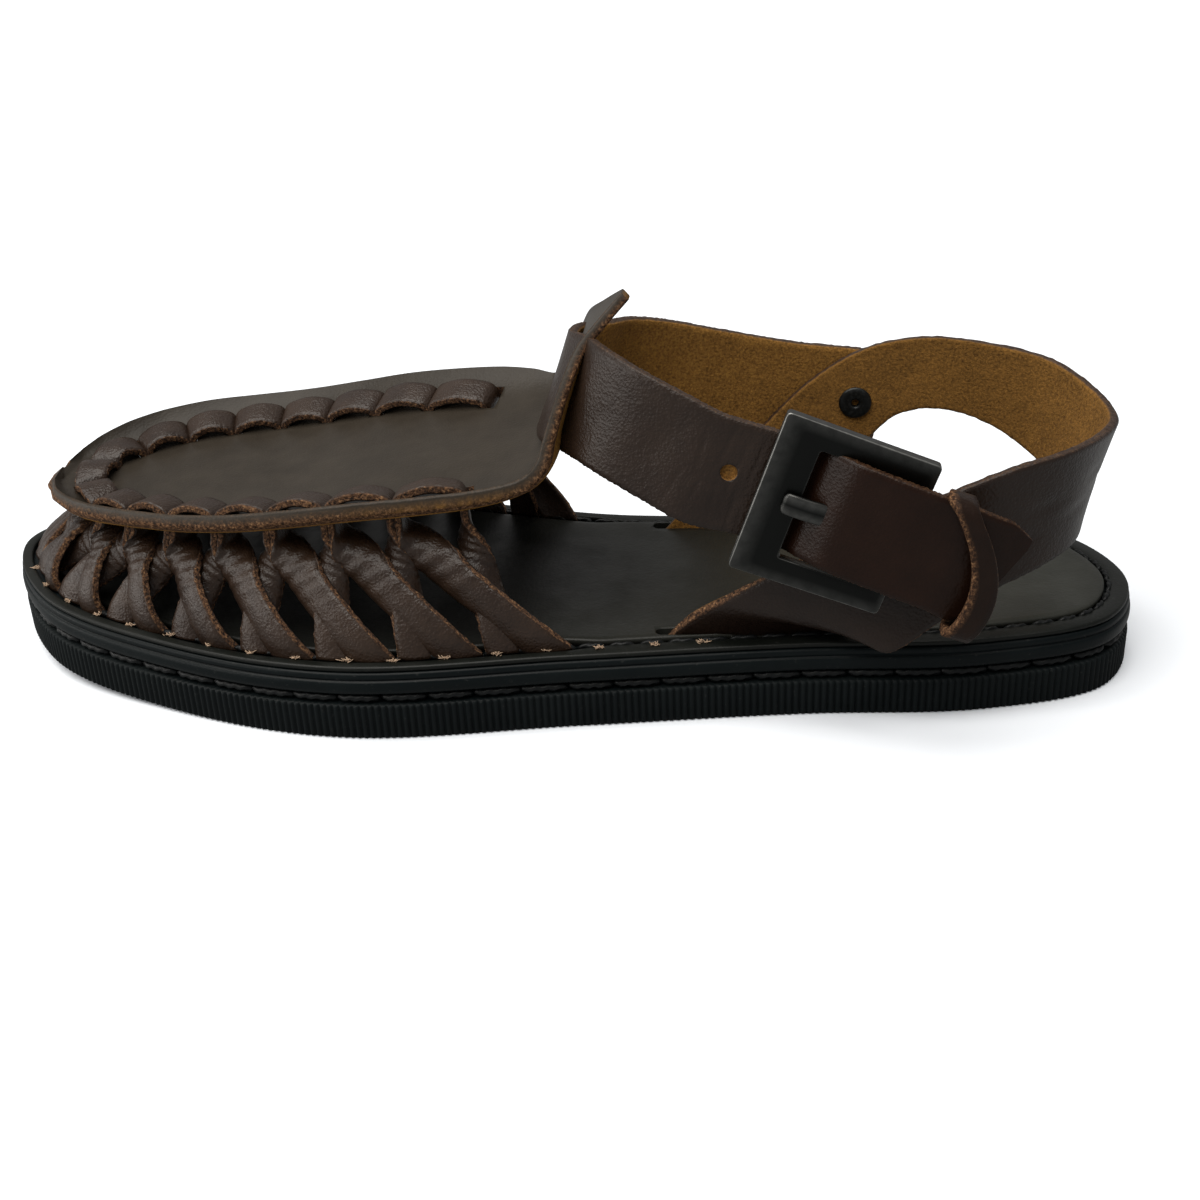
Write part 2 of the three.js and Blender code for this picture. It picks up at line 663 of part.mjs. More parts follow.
// Block in the buckle between two corners of run, side and lift
function block(run, side, lift) {
  return solid(
    run.map((r) => [
      inBuckle(r, side[0], lift[0]),
      inBuckle(r, side[1], lift[0]),
      inBuckle(r, side[1], lift[1]),
      inBuckle(r, side[0], lift[1]),
    ]),
  );
}

function makeFrame() {
  const half = FRAME_HEIGHT / 2;
  const rear = BAR_RADIUS;
  const front = rear - FRAME_LENGTH;
  const shapeOut = new THREE.Shape();
  shapeOut.moveTo(front + 1, -half);
  shapeOut.lineTo(rear - 0.6, -half + 0.5);
  shapeOut.lineTo(rear, -half + 1.1);
  shapeOut.lineTo(rear, half - 1.1);
  shapeOut.lineTo(rear - 0.6, half - 0.5);
  shapeOut.lineTo(front + 1, half);
  shapeOut.lineTo(front, half - 1);
  shapeOut.lineTo(front, -half + 1);
  const opening = new THREE.Path();
  const inner = half - ARM_FRONT;
  const wide = half - ARM_REAR;
  opening.moveTo(front + FRONT_BAR + 0.8, -inner);
  opening.lineTo(front + FRONT_BAR, -inner + 0.8);
  opening.lineTo(front + FRONT_BAR, inner - 0.8);
  opening.lineTo(front + FRONT_BAR + 0.8, inner);
  opening.lineTo(-BAR_RADIUS, wide);
  opening.lineTo(-BAR_RADIUS, -wide);
  shapeOut.holes.push(opening);
  const flat = new THREE.ExtrudeGeometry(shapeOut, {
    depth: FRAME_THICKNESS - 0.8,
    bevelThickness: 0.4,
    bevelSize: 0.4,
    bevelOffset: -0.4,
    bevelSegments: 1,
  });
  flat.deleteAttribute("normal");
  flat.deleteAttribute("uv");
  const merged = mergeVertices(flat, 1e-4);
  merged.translate(0, 0, -FRAME_THICKNESS / 2 + 0.4);
  const matrix = new THREE.Matrix4().makeBasis(BUCKLE_AXIS, BUCKLE_SIDEWAYS, BUCKLE_OUT);
  matrix.setPosition(BAR_CENTRE);
  return faceOut(merged.applyMatrix4(matrix));
}

// Prong: a ring round the bar and a bar to the front of the frame, resting on it
const PRONG_HALF = 2.3;
const PRONG_RING = BAR_RADIUS + FIT + 1.2;
const PRONG_BASE = FRAME_THICKNESS / 2 + FIT;

function makeProng() {
  const ring = [];
  const hole = [];
  const sides = 14;
  for (const [radius, rings] of [[PRONG_RING, ring], [1.5 + FIT + 0.62, hole]]) {
    for (const side of radius > 2.5 ? [-PRONG_HALF, PRONG_HALF] : [-PRONG_HALF - 1, PRONG_HALF + 1]) {
      const turn = [];
      for (let i = 0; i < sides; i++) {
        const angle = (2 * Math.PI * i) / sides;
        turn.push(inBuckle(radius * Math.cos(angle), side + BUCKLE_SIDE, radius * Math.sin(angle)));
      }
      rings.push(turn);
    }
  }
  const front = BAR_RADIUS - FRAME_LENGTH + 4.6;
  const rows = [
    { run: -2.2, half: PRONG_HALF, low: -0.8, high: 1 },
    { run: front + 8, half: PRONG_HALF, low: PRONG_BASE, high: PRONG_BASE + 1.6 },
    { run: front + 1.2, half: PRONG_HALF, low: PRONG_BASE, high: PRONG_BASE + 1.5 },
    { run: front, half: PRONG_HALF - 0.9, low: PRONG_BASE, high: PRONG_BASE + 1.1 },
  ];
  const tongue = solid(
    rows.map((row) => [
      inBuckle(row.run, BUCKLE_SIDE - row.half, row.low),
      inBuckle(row.run, BUCKLE_SIDE + row.half, row.low),
      inBuckle(row.run, BUCKLE_SIDE + row.half, row.high),
      inBuckle(row.run, BUCKLE_SIDE - row.half, row.high),
    ]),
  );
  return body(solid(ring)).add(body(tongue)).subtract(body(solid(hole)));
}

// Chape: a leather strip folded round the bar, both ends back over the heel strap
const CHAPE_RADIUS = BAR_RADIUS * 1.3 + FIT + CHAPE_THICKNESS / 2;
const CHAPE_END = 8.8;
const RIVET_RUN = 5.8;
const RIVET_RADIUS = 1.6;

function makeChape() {
  const places = [[CHAPE_END, -CHAPE_RADIUS], [3, -CHAPE_RADIUS]];
  for (let i = 0; i <= 8; i++) {
    const angle = -Math.PI / 2 - (Math.PI * i) / 8;
    places.push([CHAPE_RADIUS * Math.cos(angle), CHAPE_RADIUS * Math.sin(angle)]);
  }
  places.push([3, CHAPE_RADIUS], [CHAPE_END, CHAPE_RADIUS]);
  const stations = places.map(([run, lift], i) => {
    const before = places[Math.max(0, i - 1)];
    const after = places[Math.min(places.length - 1, i + 1)];
    const way = inBuckle(after[0], 0, after[1]).sub(inBuckle(before[0], 0, before[1])).normalize();
    return {
      centre: inBuckle(run, BUCKLE_SIDE, lift),
      wide: BUCKLE_SIDEWAYS.clone().multiplyScalar(CHAPE_WIDTH / 2),
      thick: way.cross(BUCKLE_SIDEWAYS).multiplyScalar(CHAPE_THICKNESS / 2),
    };
  });
  const slot = block([-6, 3.2], [BUCKLE_SIDE - PRONG_HALF - 0.5, BUCKLE_SIDE + PRONG_HALF + 0.5], [-6, 6]);
  const hole = turned(inBuckle(RIVET_RUN, BUCKLE_SIDE, -8), BUCKLE_OUT, [
    { at: 0, radius: RIVET_RADIUS + FIT },
    { at: 16, radius: RIVET_RADIUS + FIT },
  ]);
  return body(ribbon(stations)).subtract(body(slot)).subtract(body(hole));
}

// Keeper: a closed loop round the end of the strap
function makeKeeper() {
  const centre = 12.6;
  const lift = 5.2;
  const tall = STRAP_WIDTH / 2 + FIT + 0.35 + KEEPER_THICKNESS / 2;
  const deep = STRAP_THICKNESS / 2 + FIT + 1.2 + KEEPER_THICKNESS / 2;
  const corner = 1.4;
  const path = [
    [-tall + corner, -deep],
    [-tall / 2, -deep],
    [0, -deep],
    [tall / 2, -deep],
    [tall - corner, -deep],
    [tall, -deep + corner],
    [tall, deep - corner],
    [tall - corner, deep],
    [tall / 2, deep + 0.3],
    [0, deep + 0.4],
    [-tall / 2, deep + 0.3],
    [-tall + corner, deep],
    [-tall, deep - corner],
    [-tall, -deep + corner],
  ];
  const rings = path.map(([side, out], i) => {
    const before = path[(i + path.length - 1) % path.length];
    const after = path[(i + 1) % path.length];
    const normal = new THREE.Vector2(after[1] - before[1], before[0] - after[0]).normalize();
    const half = KEEPER_THICKNESS / 2;
    return [
      [-1, -1],
      [1, -1],
      [1, 1],
      [-1, 1],
    ].map(([r, n]) =>
      inBuckle(
        centre + (r * KEEPER_WIDTH) / 2 - KEEPER_SKEW * side + KEEPER_BOW * (1 - (side / tall) ** 2),
        BUCKLE_SIDE + side + n * half * normal.x,
        lift - 0.085 * r * (KEEPER_WIDTH / 2) + out + n * half * normal.y,
      ),
    );
  });
  return solid(rings, true);
}

// Assembly
const heelStations = strapStations(heelRows(), 45);
const instepStations = strapStations(instepRows(), 62);
const rivetNearAxis = BUCKLE_OUT;
const rivetNearPlace = inBuckle(RIVET_RUN, BUCKLE_SIDE, 0);
const rivetFarPlace = new THREE.Vector3(78.7, 37.6, 51.6);
const rivetFarAxis = new THREE.Vector3(0, 1, 0);

const rivetHole = (place, axis) =>
  body(
    turned(place, axis, [
      { at: -14, radius: RIVET_RADIUS + FIT },
      { at: 14, radius: RIVET_RADIUS + FIT },
    ]),
  );

const punched = turned(inBuckle(-40.5, BUCKLE_SIDE + 1.2, 0), BUCKLE_OUT, [
  { at: -12, radius: 1.9 },
  { at: 12, radius: 1.9 },
]);
const prongHole = block([-21.8, -11.6], [BUCKLE_SIDE - PRONG_HALF - 0.5, BUCKLE_SIDE + PRONG_HALF + 0.5], [-6, 12]);

let vamp = body(makeVamp());
for (const cut of laceSlots()) vamp = vamp.subtract(body(cut));
vamp = vamp.subtract(body(strapSolid(instepStations, FIT + 0.1)));

const heel = body(strapSolid(heelStations))
  .trimByPlane([0, 0, 1], MIDSOLE_TOP + FIT)
  .subtract(rivetHole(rivetNearPlace, rivetNearAxis))
  .subtract(rivetHole(rivetFarPlace, rivetFarAxis));
const instep = body(strapSolid(instepStations))
  .subtract(rivetHole(rivetFarPlace, rivetFarAxis).trimByPlane([0, 1, 0], 30))
  .subtract(body(punched))
  .subtract(body(prongHole));
const insole = body(makeInsole()).subtract(body(strapSolid(heelStations, FIT + 0.1)));

const rivetRows = (from, to) => [
  { at: from - 1, radius: 2.6 },
  { at: from - 0.6, radius: 3.6 },
  { at: from, radius: 3.6 },
  { at: from + 0.01, radius: RIVET_RADIUS },
  { at: to, radius: RIVET_RADIUS },
];

const PIECES = [
  ["outsole", makeOutsole(), 0x15171a, 0.7, 0],
  ["midsole", makeMidsole(), 0x17191c, 0.55, 0],
  ["welt", makeWelt(), 0x1a1b1d, 0.5, 0],
  ["insole", shape(insole), 0x1c1d1e, 0.45, 0],
  ["vamp", shape(vamp), 0x35241d, 0.5, 0],
  ["woven_upper", shape(makeWoven()), 0x3b241b, 0.5, 0],
  ["heel_strap", shape(heel), 0x38261e, 0.5, 0],
  ["instep_strap", shape(instep), 0x38241d, 0.5, 0],
  ["buckle_frame", makeFrame(), 0x303234, 0.4, 0.9],
  ["buckle_prong", shape(makeProng()), 0x2c2e30, 0.4, 0.9],
  ["buckle_chape", shape(makeChape()), 0x35241d, 0.5, 0],
  ["strap_keeper", makeKeeper(), 0x38241c, 0.5, 0],
  ["rivet_far", turned(rivetFarPlace, rivetFarAxis, rivetRows(-2.6, 5.6)), 0x101112, 0.4, 0.8],
  ["rivet_near", turned(rivetNearPlace, rivetNearAxis, rivetRows(-8.8, 3)), 0x101112, 0.4, 0.8],
];

const sandal = new THREE.Group();
sandal.name = "woven_sandal_left";
for (const [name, geometry, color, roughness, metalness] of PIECES) {
  geometry.translate(0, BOX_CENTRE, 0);
  const mesh = new THREE.Mesh(geometry, new THREE.MeshStandardMaterial({ color, roughness, metalness }));
  mesh.name = name;
  sandal.add(mesh);
}

export default sandal;
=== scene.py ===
import math
import random

import bmesh
import bpy
import numpy as np
from mathutils import Matrix, Vector


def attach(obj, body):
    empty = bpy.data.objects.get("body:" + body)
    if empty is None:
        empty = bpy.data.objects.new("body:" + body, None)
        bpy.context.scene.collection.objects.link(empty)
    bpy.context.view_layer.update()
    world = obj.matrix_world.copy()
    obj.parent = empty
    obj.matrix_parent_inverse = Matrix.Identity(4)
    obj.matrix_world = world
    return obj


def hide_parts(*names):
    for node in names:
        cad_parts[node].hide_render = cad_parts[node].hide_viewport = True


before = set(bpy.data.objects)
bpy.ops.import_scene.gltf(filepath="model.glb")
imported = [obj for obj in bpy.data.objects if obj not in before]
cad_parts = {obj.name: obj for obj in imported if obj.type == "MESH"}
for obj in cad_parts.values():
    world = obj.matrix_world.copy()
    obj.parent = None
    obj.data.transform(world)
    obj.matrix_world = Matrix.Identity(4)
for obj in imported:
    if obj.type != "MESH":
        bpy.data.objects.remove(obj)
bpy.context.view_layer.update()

# Outsole: a slab of moulded black rubber with upright ribs all round its side.
# The mould leaves the ribs round-topped, and the toe is pressed up from the floor.
# Sizes are in mm on the foot's own line: toe at -X, lateral side at -Y, floor at Z 0.
METRE = 0.001  # one mm in metres
MIDDLE = 2.65  # from the foot's own line to the middle of the shoe, across
OUTSOLE_HEIGHT = 9.2
RIB_PITCH = 1.65
RIB_DEPTH = 0.8
RIB_POINTS = 6
TOE_END = -145.5
TOE_SPRING = 4.5
SPRING_START = -60
OUTLINE = [  # along and across, from the toe tip down the lateral side and round the heel
    (TOE_END, 6.7), (-127.5, -24.6), (-89.8, -43.9), (-43.4, -54.7), (11.2, -47.5), (63.5, -40.2),
    (107.3, -36.3), (137, -24.4), (145.5, -1.8), (133.6, 24.4), (104.7, 34.9), (61.7, 36.3),
    (14.6, 36.3), (-30.3, 45.7), (-70, 52.6), (-109.7, 45.2), (-134.4, 29.4),
]


def unit(v):
    return v / np.maximum(np.linalg.norm(v, axis=-1, keepdims=True), 1e-12)


def line_at(rows, t, closed=False):
    """Points at t, 0 to 1, of the smooth line through rows."""
    rows = np.asarray(rows, float)
    n = len(rows)
    place = np.atleast_1d(np.asarray(t, float)) * (n if closed else n - 1)
    i = np.floor(place).astype(int)
    if closed:
        near = [rows[(i + k) % n] for k in (-1, 0, 1, 2)]
    else:
        i = np.clip(i, 0, n - 2)
        full = np.vstack([2 * rows[0] - rows[1], rows, 2 * rows[-1] - rows[-2]])
        near = [full[i + k] for k in (0, 1, 2, 3)]
    w = (place - i)[:, None]
    d0, d1, d2 = (np.sqrt(np.linalg.norm(b - a, axis=1, keepdims=True)) for a, b in zip(near, near[1:]))
    d1 = np.where(d1 < 1e-4, 1, d1)
    d0 = np.where(d0 < 1e-4, d1, d0)
    d2 = np.where(d2 < 1e-4, d1, d2)
    a, b, c, d = near
    t1 = ((b - a) / d0 - (c - a) / (d0 + d1) + (c - b) / d1) * d1
    t2 = ((c - b) / d1 - (d - b) / (d1 + d2) + (d - c) / d2) * d1
    return b + w * (t1 + w * (-3 * b + 3 * c - 2 * t1 - t2 + w * (2 * b - 2 * c + t1 + t2)))


def way_at(rows, t, closed=False):
    """Way along the smooth line at t."""
    step = 1e-4
    t = np.atleast_1d(np.asarray(t, float))
    ahead = line_at(rows, np.minimum(t + step, 1), closed)
    return unit(ahead - line_at(rows, np.maximum(t - step, 0), closed))


def measured(rows, closed=False):
    """Place and way by share of the line's length, and that length."""
    t = np.linspace(0, 1, 3001)
    steps = np.linalg.norm(np.diff(line_at(rows, t, closed), axis=0), axis=1)
    run = np.concatenate([[0], np.cumsum(steps)])

    def place(share):
        return line_at(rows, np.interp(share, run / run[-1], t), closed)

    def way(share):
        return way_at(rows, np.interp(share, run / run[-1], t), closed)

    return place, way, run[-1]


outline_place, outline_way, OUTLINE_LENGTH = measured(OUTLINE, True)


def spring(along):
    """Rise of the sole from the ball to the toe."""
    return TOE_SPRING * np.maximum(0, (SPRING_START - along) / (SPRING_START - TOE_END)) ** 2


def plan(share, inset):
    """Places inside the outline of the sole by share of its length."""
    place = outline_place(share)
    way = outline_way(share)
    return place + np.stack([-way[:, 1], way[:, 0]], 1) * np.asarray(inset, float).reshape(-1, 1)


def sole_ring(count, height, inset):
    place = plan(np.arange(count) / count, inset)
    return np.column_stack([place, height + spring(place[:, 0])])


def skin(rings, loop=False):
    """Points and faces through rings of equal count. A loop joins its last ring to its first."""
    count = len(rings[0])
    faces = []
    for r in range(len(rings) if loop else len(rings) - 1):
        a, b = r * count, (r + 1) % len(rings) * count
        faces += [(a + i, a + (i + 1) % count, b + (i + 1) % count, b + i) for i in range(count)]
    if not loop:
        for base in (0, (len(rings) - 1) * count):
            for i in range((count + 1) // 2):
                corners = [i, (i + 1) % count, (count - i - 1) % count, (count - i) % count]
                face = list(dict.fromkeys(base + k for k in corners))
                if len(face) > 2:
                    faces.append(tuple(face))
    return np.concatenate(rings), faces


def piece(name, points, faces, material, marks=None, smooth=True):
    """A named mesh from points in mm, carried by the shoe's body. Marks are values for each point."""
    mesh = bpy.data.meshes.new(name)
    mesh.from_pydata(((np.asarray(points, float) + (0, MIDDLE, 0)) * METRE).tolist(), [], faces)
    for mark, values in (marks or {}).items():
        mesh.attributes.new(mark, "FLOAT", "POINT").data.foreach_set("value", np.asarray(values, np.float32))
    tidy = bmesh.new()
    tidy.from_mesh(mesh)
    bmesh.ops.recalc_face_normals(tidy, faces=tidy.faces)
    tidy.to_mesh(mesh)
    tidy.free()
    if smooth:
        mesh.shade_smooth()
    mesh.materials.append(material)
    made = bpy.data.objects.new(name, mesh)
    bpy.context.scene.collection.objects.link(made)
    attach(made, "root")
    return made


class Nodes:
    """Short way to place shader nodes and join them."""

    def __init__(self, tree):
        self.tree = tree

    def link(self, value, socket):
        self.tree.links.new(value, socket)

    def put(self, value, socket):
        if isinstance(value, bpy.types.NodeSocket):
            self.link(value, socket)
        else:
            socket.default_value = value

    def add(self, kind, inputs=None, **settings):
        node = self.tree.nodes.new(kind)
        for key, value in settings.items():
            setattr(node, key, value)
        for key, value in (inputs or {}).items():
            self.put(value, node.inputs[key])
        return node

    def group(self, tree, inputs=None):
        return self.add("ShaderNodeGroup", inputs, node_tree=tree)

    def math(self, operation, a, b=0.0):
        return self.add("ShaderNodeMath", {0: a, 1: b}, operation=operation).outputs[0]

    def mix(self, share, a, b):
        node = self.add("ShaderNodeMix", data_type="RGBA")
        for socket, value in ((0, share), (6, a), (7, b)):
            self.put(value, node.inputs[socket])
        return node.outputs[2]

    def fade(self, value, low, high, to_low=0.0, to_high=1.0):
        return self.add("ShaderNodeMapRange", {0: value, 1: low, 2: high, 3: to_low, 4: to_high}).outputs[0]

    def noise(self, place, scale, detail=4.0, rough=0.6):
        settings = {"Vector": place, "Scale": scale, "Detail": detail, "Roughness": rough}
        return self.add("ShaderNodeTexNoise", settings).outputs[0]

    def place(self):
        return self.add("ShaderNodeTexCoord").outputs["Object"]

    def mark(self, name):
        return self.add("ShaderNodeAttribute", attribute_name=name).outputs["Fac"]


def node_group(name, ins, outs):
    """An empty shader group with its sockets. Gives the group, its nodes, its inputs and its outputs."""
    tree = bpy.data.node_groups.new(name, "ShaderNodeTree")
    for socket, value in ins.items():
        made = tree.interface.new_socket(socket, in_out="INPUT", socket_type="NodeSocketFloat")
        made.default_value = value
    for socket, kind in outs.items():
        tree.interface.new_socket(socket, in_out="OUTPUT", socket_type=kind)
    nodes = Nodes(tree)
    return tree, nodes, nodes.add("NodeGroupInput").outputs, nodes.add("NodeGroupOutput").inputs


def surface(name):
    """A new material, its nodes and its principled shader."""
    material = bpy.data.materials.new(name)
    material.use_nodes = True
    return material, Nodes(material.node_tree), material.node_tree.nodes["Principled BSDF"]


def bump(nodes, shader, height, strength, distance):
    made = nodes.add("ShaderNodeBump", {"Strength": strength, "Distance": distance, "Height": height})
    nodes.link(made.outputs[0], shader.inputs["Normal"])


# Dust and handling: broad pale patches and fine specks that lie on the rubber.
dust_group, n, given, out = node_group(
    "dust", {"Patch size": 40.0}, {"Patches": "NodeSocketFloat", "Specks": "NodeSocketFloat"}
)
place = n.place()
n.link(n.fade(n.noise(place, given["Patch size"], 5.0), 0.42, 0.72), out["Patches"])
n.link(n.fade(n.noise(place, 900.0, 2.0), 0.66, 0.74), out["Specks"])


def rubber(name, dark, pale, clean_rough, dusty_rough, gloss):
    """Black rubber, darker and smoother where it is clean of dust."""
    material, n, shader = surface(name)
    dust = n.group(dust_group)
    tone = n.mix(dust.outputs["Patches"], dark, pale)
    specks = n.math("MULTIPLY", dust.outputs["Specks"], 0.35)
    n.link(n.mix(specks, tone, (0.04, 0.04, 0.038, 1)), shader.inputs["Base Color"])
    n.link(n.fade(dust.outputs["Patches"], 0, 1, clean_rough, dusty_rough), shader.inputs["Roughness"])
    shader.inputs["Specular IOR Level"].default_value = gloss
    bump(n, shader, n.noise(n.place(), 1400.0, 3.0), 0.25, 0.0002)
    return material


def make_outsole():
    ribs = round(OUTLINE_LENGTH / RIB_PITCH)
    count = RIB_POINTS * ribs
    phase = np.arange(count) / RIB_POINTS
    rib = RIB_DEPTH * (1 - np.abs(np.sin(math.pi * phase)) ** 0.6)
    levels = [  # height, inset from the outline
        (0, 3),
        (0, 0.9),
        (0.3, rib + 0.25),
        (0.8, rib),
        (OUTSOLE_HEIGHT - 1.0, rib),
        (OUTSOLE_HEIGHT - 0.4, rib * 0.6 + 0.1),
        (OUTSOLE_HEIGHT - 0.05, 0.7),
        (OUTSOLE_HEIGHT, 3),
    ]
    points, faces = skin([sole_ring(count, height, inset) for height, inset in levels])
    dark, pale = (0.0025, 0.0046, 0.0052, 1), (0.0055, 0.0082, 0.0088, 1)
    black = rubber("outsole rubber", dark, pale, 0.5, 0.7, 0.14)
    made = piece("outsole_rubber", points, faces, black)
    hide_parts("outsole")


make_outsole()

# Midsole: a softer rubber layer cemented to the outsole, with a sewing groove cut all round it,
# a rounded band above the groove and a thin moulded ridge under the welt.
SOLE_POINTS = 460  # round the midsole and the welt


def make_midsole():
    levels = [  # height, inset from the outline: groove, band, ridge
        (9.3, 6), (9.3, 2.6), (11.4, 2.6), (11.7, 2.3), (11.82, 1.2),
        (12.05, 0.5), (12.5, 0.12), (13.2, 0), (14.3, 0), (15, 0.12), (15.35, 0.35),
        (15.5, 0.72), (15.68, 0.74), (15.85, 0.5), (16.3, 0.42), (16.9, 0.46), (17.35, 0.75),
        (17.6, 1.4), (17.6, 12),
    ]
    points, faces = skin([sole_ring(SOLE_POINTS, height, inset) for height, inset in levels])
    dark, pale = (0.0022, 0.0042, 0.0048, 1), (0.0045, 0.0072, 0.0078, 1)
    black = rubber("midsole rubber", dark, pale, 0.34, 0.5, 0.13)
    made = piece("midsole_rubber", points, faces, black)
    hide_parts("midsole")


make_midsole()

# Groove stitches: waxed black two-ply thread that sews the outsole to the midsole.
# Each stitch is a twisted bead that dips into the rubber at its ends.
PLY_DEPTH = 0.22


def cord_ring(centre, way, radius, twist, sides=8):
    """Section of a two-ply thread square to its way."""
    side = unit(np.cross(way, (0, 0, 1)))
    up = np.cross(side, way)
    angle = np.arange(sides) * 2 * math.pi / sides
    wave = radius * (1 + PLY_DEPTH * np.cos(2 * (angle - twist)))
    return centre + np.outer(wave * np.cos(angle), side) + np.outer(wave * np.sin(angle), up)


def joined_up(parts):
    """Points and faces of several closed shapes as one mesh."""
    points, faces, base = [], [], 0
    for made, joined in parts:
        points.append(made)
        faces += [tuple(base + k for k in face) for face in joined]
        base += len(made)
    return np.concatenate(points), faces


def stitch_row(pitch, length, height, inset, dip_in, dip_down, radius, twist, jitter):
    """Beads of thread all round the outline, their ends sunk inward and down."""
    count = round(OUTLINE_LENGTH / pitch)
    pick = random.Random(7)
    beads = []
    for share in np.arange(count) / count:
        long = length * (1 + jitter * pick.uniform(-1, 1))
        lift = jitter * pick.uniform(-1, 1)
        s = np.linspace(-1, 1, 15)
        place = plan((share + s * long / 2 / OUTLINE_LENGTH) % 1, inset + dip_in * s**4)
        rise = height + lift + spring(place[:, 0]) - dip_down * s**4
        middle = np.column_stack([place, rise])
        way = unit(np.gradient(middle, axis=0))
        size = radius * (0.45 + 0.55 * np.sqrt(np.maximum(0, 1 - s**6)))
        beads.append(skin([cord_ring(c, w, r, twist * k) for c, w, r, k in zip(middle, way, size, s)]))
    return joined_up(beads)


def thread(name, tone, rough):
    material, n, shader = surface(name)
    fibre = n.noise(n.place(), 2200.0, 2.0)
    n.link(n.mix(fibre, [k * 0.6 for k in tone[:3]] + [1], tone), shader.inputs["Base Color"])
    shader.inputs["Roughness"].default_value = rough
    shader.inputs["Specular IOR Level"].default_value = 0.2
    bump(n, shader, fibre, 0.4, 0.0002)
    return material


black_thread = thread("black waxed thread", (0.006, 0.007, 0.0075, 1), 0.4)
groove_row = stitch_row(
    pitch=11, length=10.9, height=10.7, inset=1.35,
    dip_in=0.9, dip_down=0.3, radius=0.82, twist=6.0, jitter=0.06,
)
piece("groove_stitches", *groove_row, black_thread)

# Welt: a flat lip of black rubber laid on the midsole, with a rounded outer edge.
# Its inner edge is the outer side of the sewn channel that the lace goes down into.
WELT_TOP = 19.0
CHANNEL_INSET = 6.0
CHANNEL = [(-150, 2.5), (-100, 2.2), (10, 2.2), (18, 0.6), (150, 0.6)]  # along, half width of the channel


def channel_half(count):
    along = outline_place(np.arange(count) / count)[:, 0]
    return np.interp(along, *zip(*CHANNEL))


def make_welt():
    inner = CHANNEL_INSET - channel_half(SOLE_POINTS)
    levels = [  # height, inset from the outline
        (17.65, 1.3), (17.95, 0.85), (18.5, 0.8), (18.85, 0.98), (WELT_TOP, 1.4),
        (WELT_TOP, (1.8 + inner) / 2), (18.95, inner - 0.5), (18.75, inner - 0.1), (17.7, inner),
    ]
    points, faces = skin([sole_ring(SOLE_POINTS, height, inset) for height, inset in levels], loop=True)
    black = rubber("welt rubber", (0.004, 0.005, 0.004, 1), (0.008, 0.009, 0.0075, 1), 0.36, 0.55, 0.2)
    made = piece("welt_lip", points, faces, black)
    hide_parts("welt")


make_welt()

# Insole: smooth black leather, cemented down inside the sewn channel and lightly dished under the foot.
# A slot on each side lets the heel strap through, and the leather's colour is painted near black toward the
# toe: painted shade under the plug.
INSOLE_TOP = 19.6
INSOLE_POINTS = 420
INSOLE_SLOTS = [((31.5, -35.3), (77.5, -31.1)), ((26.5, 26.3), (66, 27.7))]  # front and rear end of each
SLOT_HALF = 1.7

grain_group, n, given, out = node_group(
    "leather grain",
    {"Pore size": 1500.0, "Crease size": 180.0},
    {"Height": "NodeSocketFloat", "Patches": "NodeSocketFloat", "Creases": "NodeSocketFloat"},
)
place = n.place()
pores = n.add("ShaderNodeTexVoronoi", {"Vector": place, "Scale": given["Pore size"]}).outputs["Distance"]
creases = n.noise(place, given["Crease size"], 6.0, 0.65)
fine = n.noise(place, 2600.0, 2.0)
wrinkles = n.noise(place, 620.0, 3.0, 0.7)
height = n.math("ADD", n.math("MULTIPLY", pores, 0.35), n.math("MULTIPLY", creases, 0.8))
height = n.math("ADD", height, n.math("MULTIPLY", wrinkles, 0.7))
n.link(n.math("ADD", height, n.math("MULTIPLY", fine, 0.25)), out["Height"])
n.link(n.fade(n.noise(place, 32.0, 4.0), 0.35, 0.7), out["Patches"])
n.link(n.fade(creases, 0.4, 0.7), out["Creases"])


def cut(made, points, faces, finish):
    """Cuts a closed shape out of a piece. The walls of the cut show the finish."""
    tool = piece("cutter", points, faces, finish, smooth=False)
    change = made.modifiers.new("cut", "BOOLEAN")
    change.operation = "DIFFERENCE"
    change.solver = "EXACT"
    change.material_mode = "TRANSFER"
    change.object = tool
    bpy.context.view_layer.update()
    left = bpy.data.meshes.new_from_object(made.evaluated_get(bpy.context.evaluated_depsgraph_get()))
    made.modifiers.clear()
    made.data = left
    bpy.data.objects.remove(tool)


def slot_rings(start, end, levels):
    """A round-ended slot between two places on the insole, one ring for each height."""
    start, end = np.array(start, float), np.array(end, float)
    way = unit(end - start)
    side = np.array([-way[1], way[0]])
    turn = np.linspace(-math.pi / 2, math.pi / 2, 9)
    arc = np.outer(np.cos(turn), way) + np.outer(np.sin(turn), side)
    loop = np.concatenate([end + SLOT_HALF * arc, start - SLOT_HALF * arc])
    return [np.column_stack([loop, np.full(len(loop), height)]) for height in levels]


def insole_finish():
    material, n, shader = surface("insole leather")
    grain = n.group(grain_group, {"Pore size": 1100.0, "Crease size": 90.0})
    along = n.add("ShaderNodeSeparateXYZ", {0: n.place()}).outputs[0]
    tone = n.mix(grain.outputs["Patches"], (0.0195, 0.0202, 0.0165, 1), (0.033, 0.0338, 0.0285, 1))
    # Painted shade under the plug: the colour fades to near black toward the toe.
    toe = n.fade(along, -0.02, 0.08, 0.8, 0.0)
    n.link(n.mix(toe, tone, (0.0015, 0.0017, 0.0014, 1)), shader.inputs["Base Color"])
    shader.inputs["Specular IOR Level"].default_value = 0.2
    n.link(n.fade(grain.outputs["Creases"], 0, 1, 0.36, 0.5), shader.inputs["Roughness"])
    bump(n, shader, grain.outputs["Height"], 0.2, 0.0003)
    return material


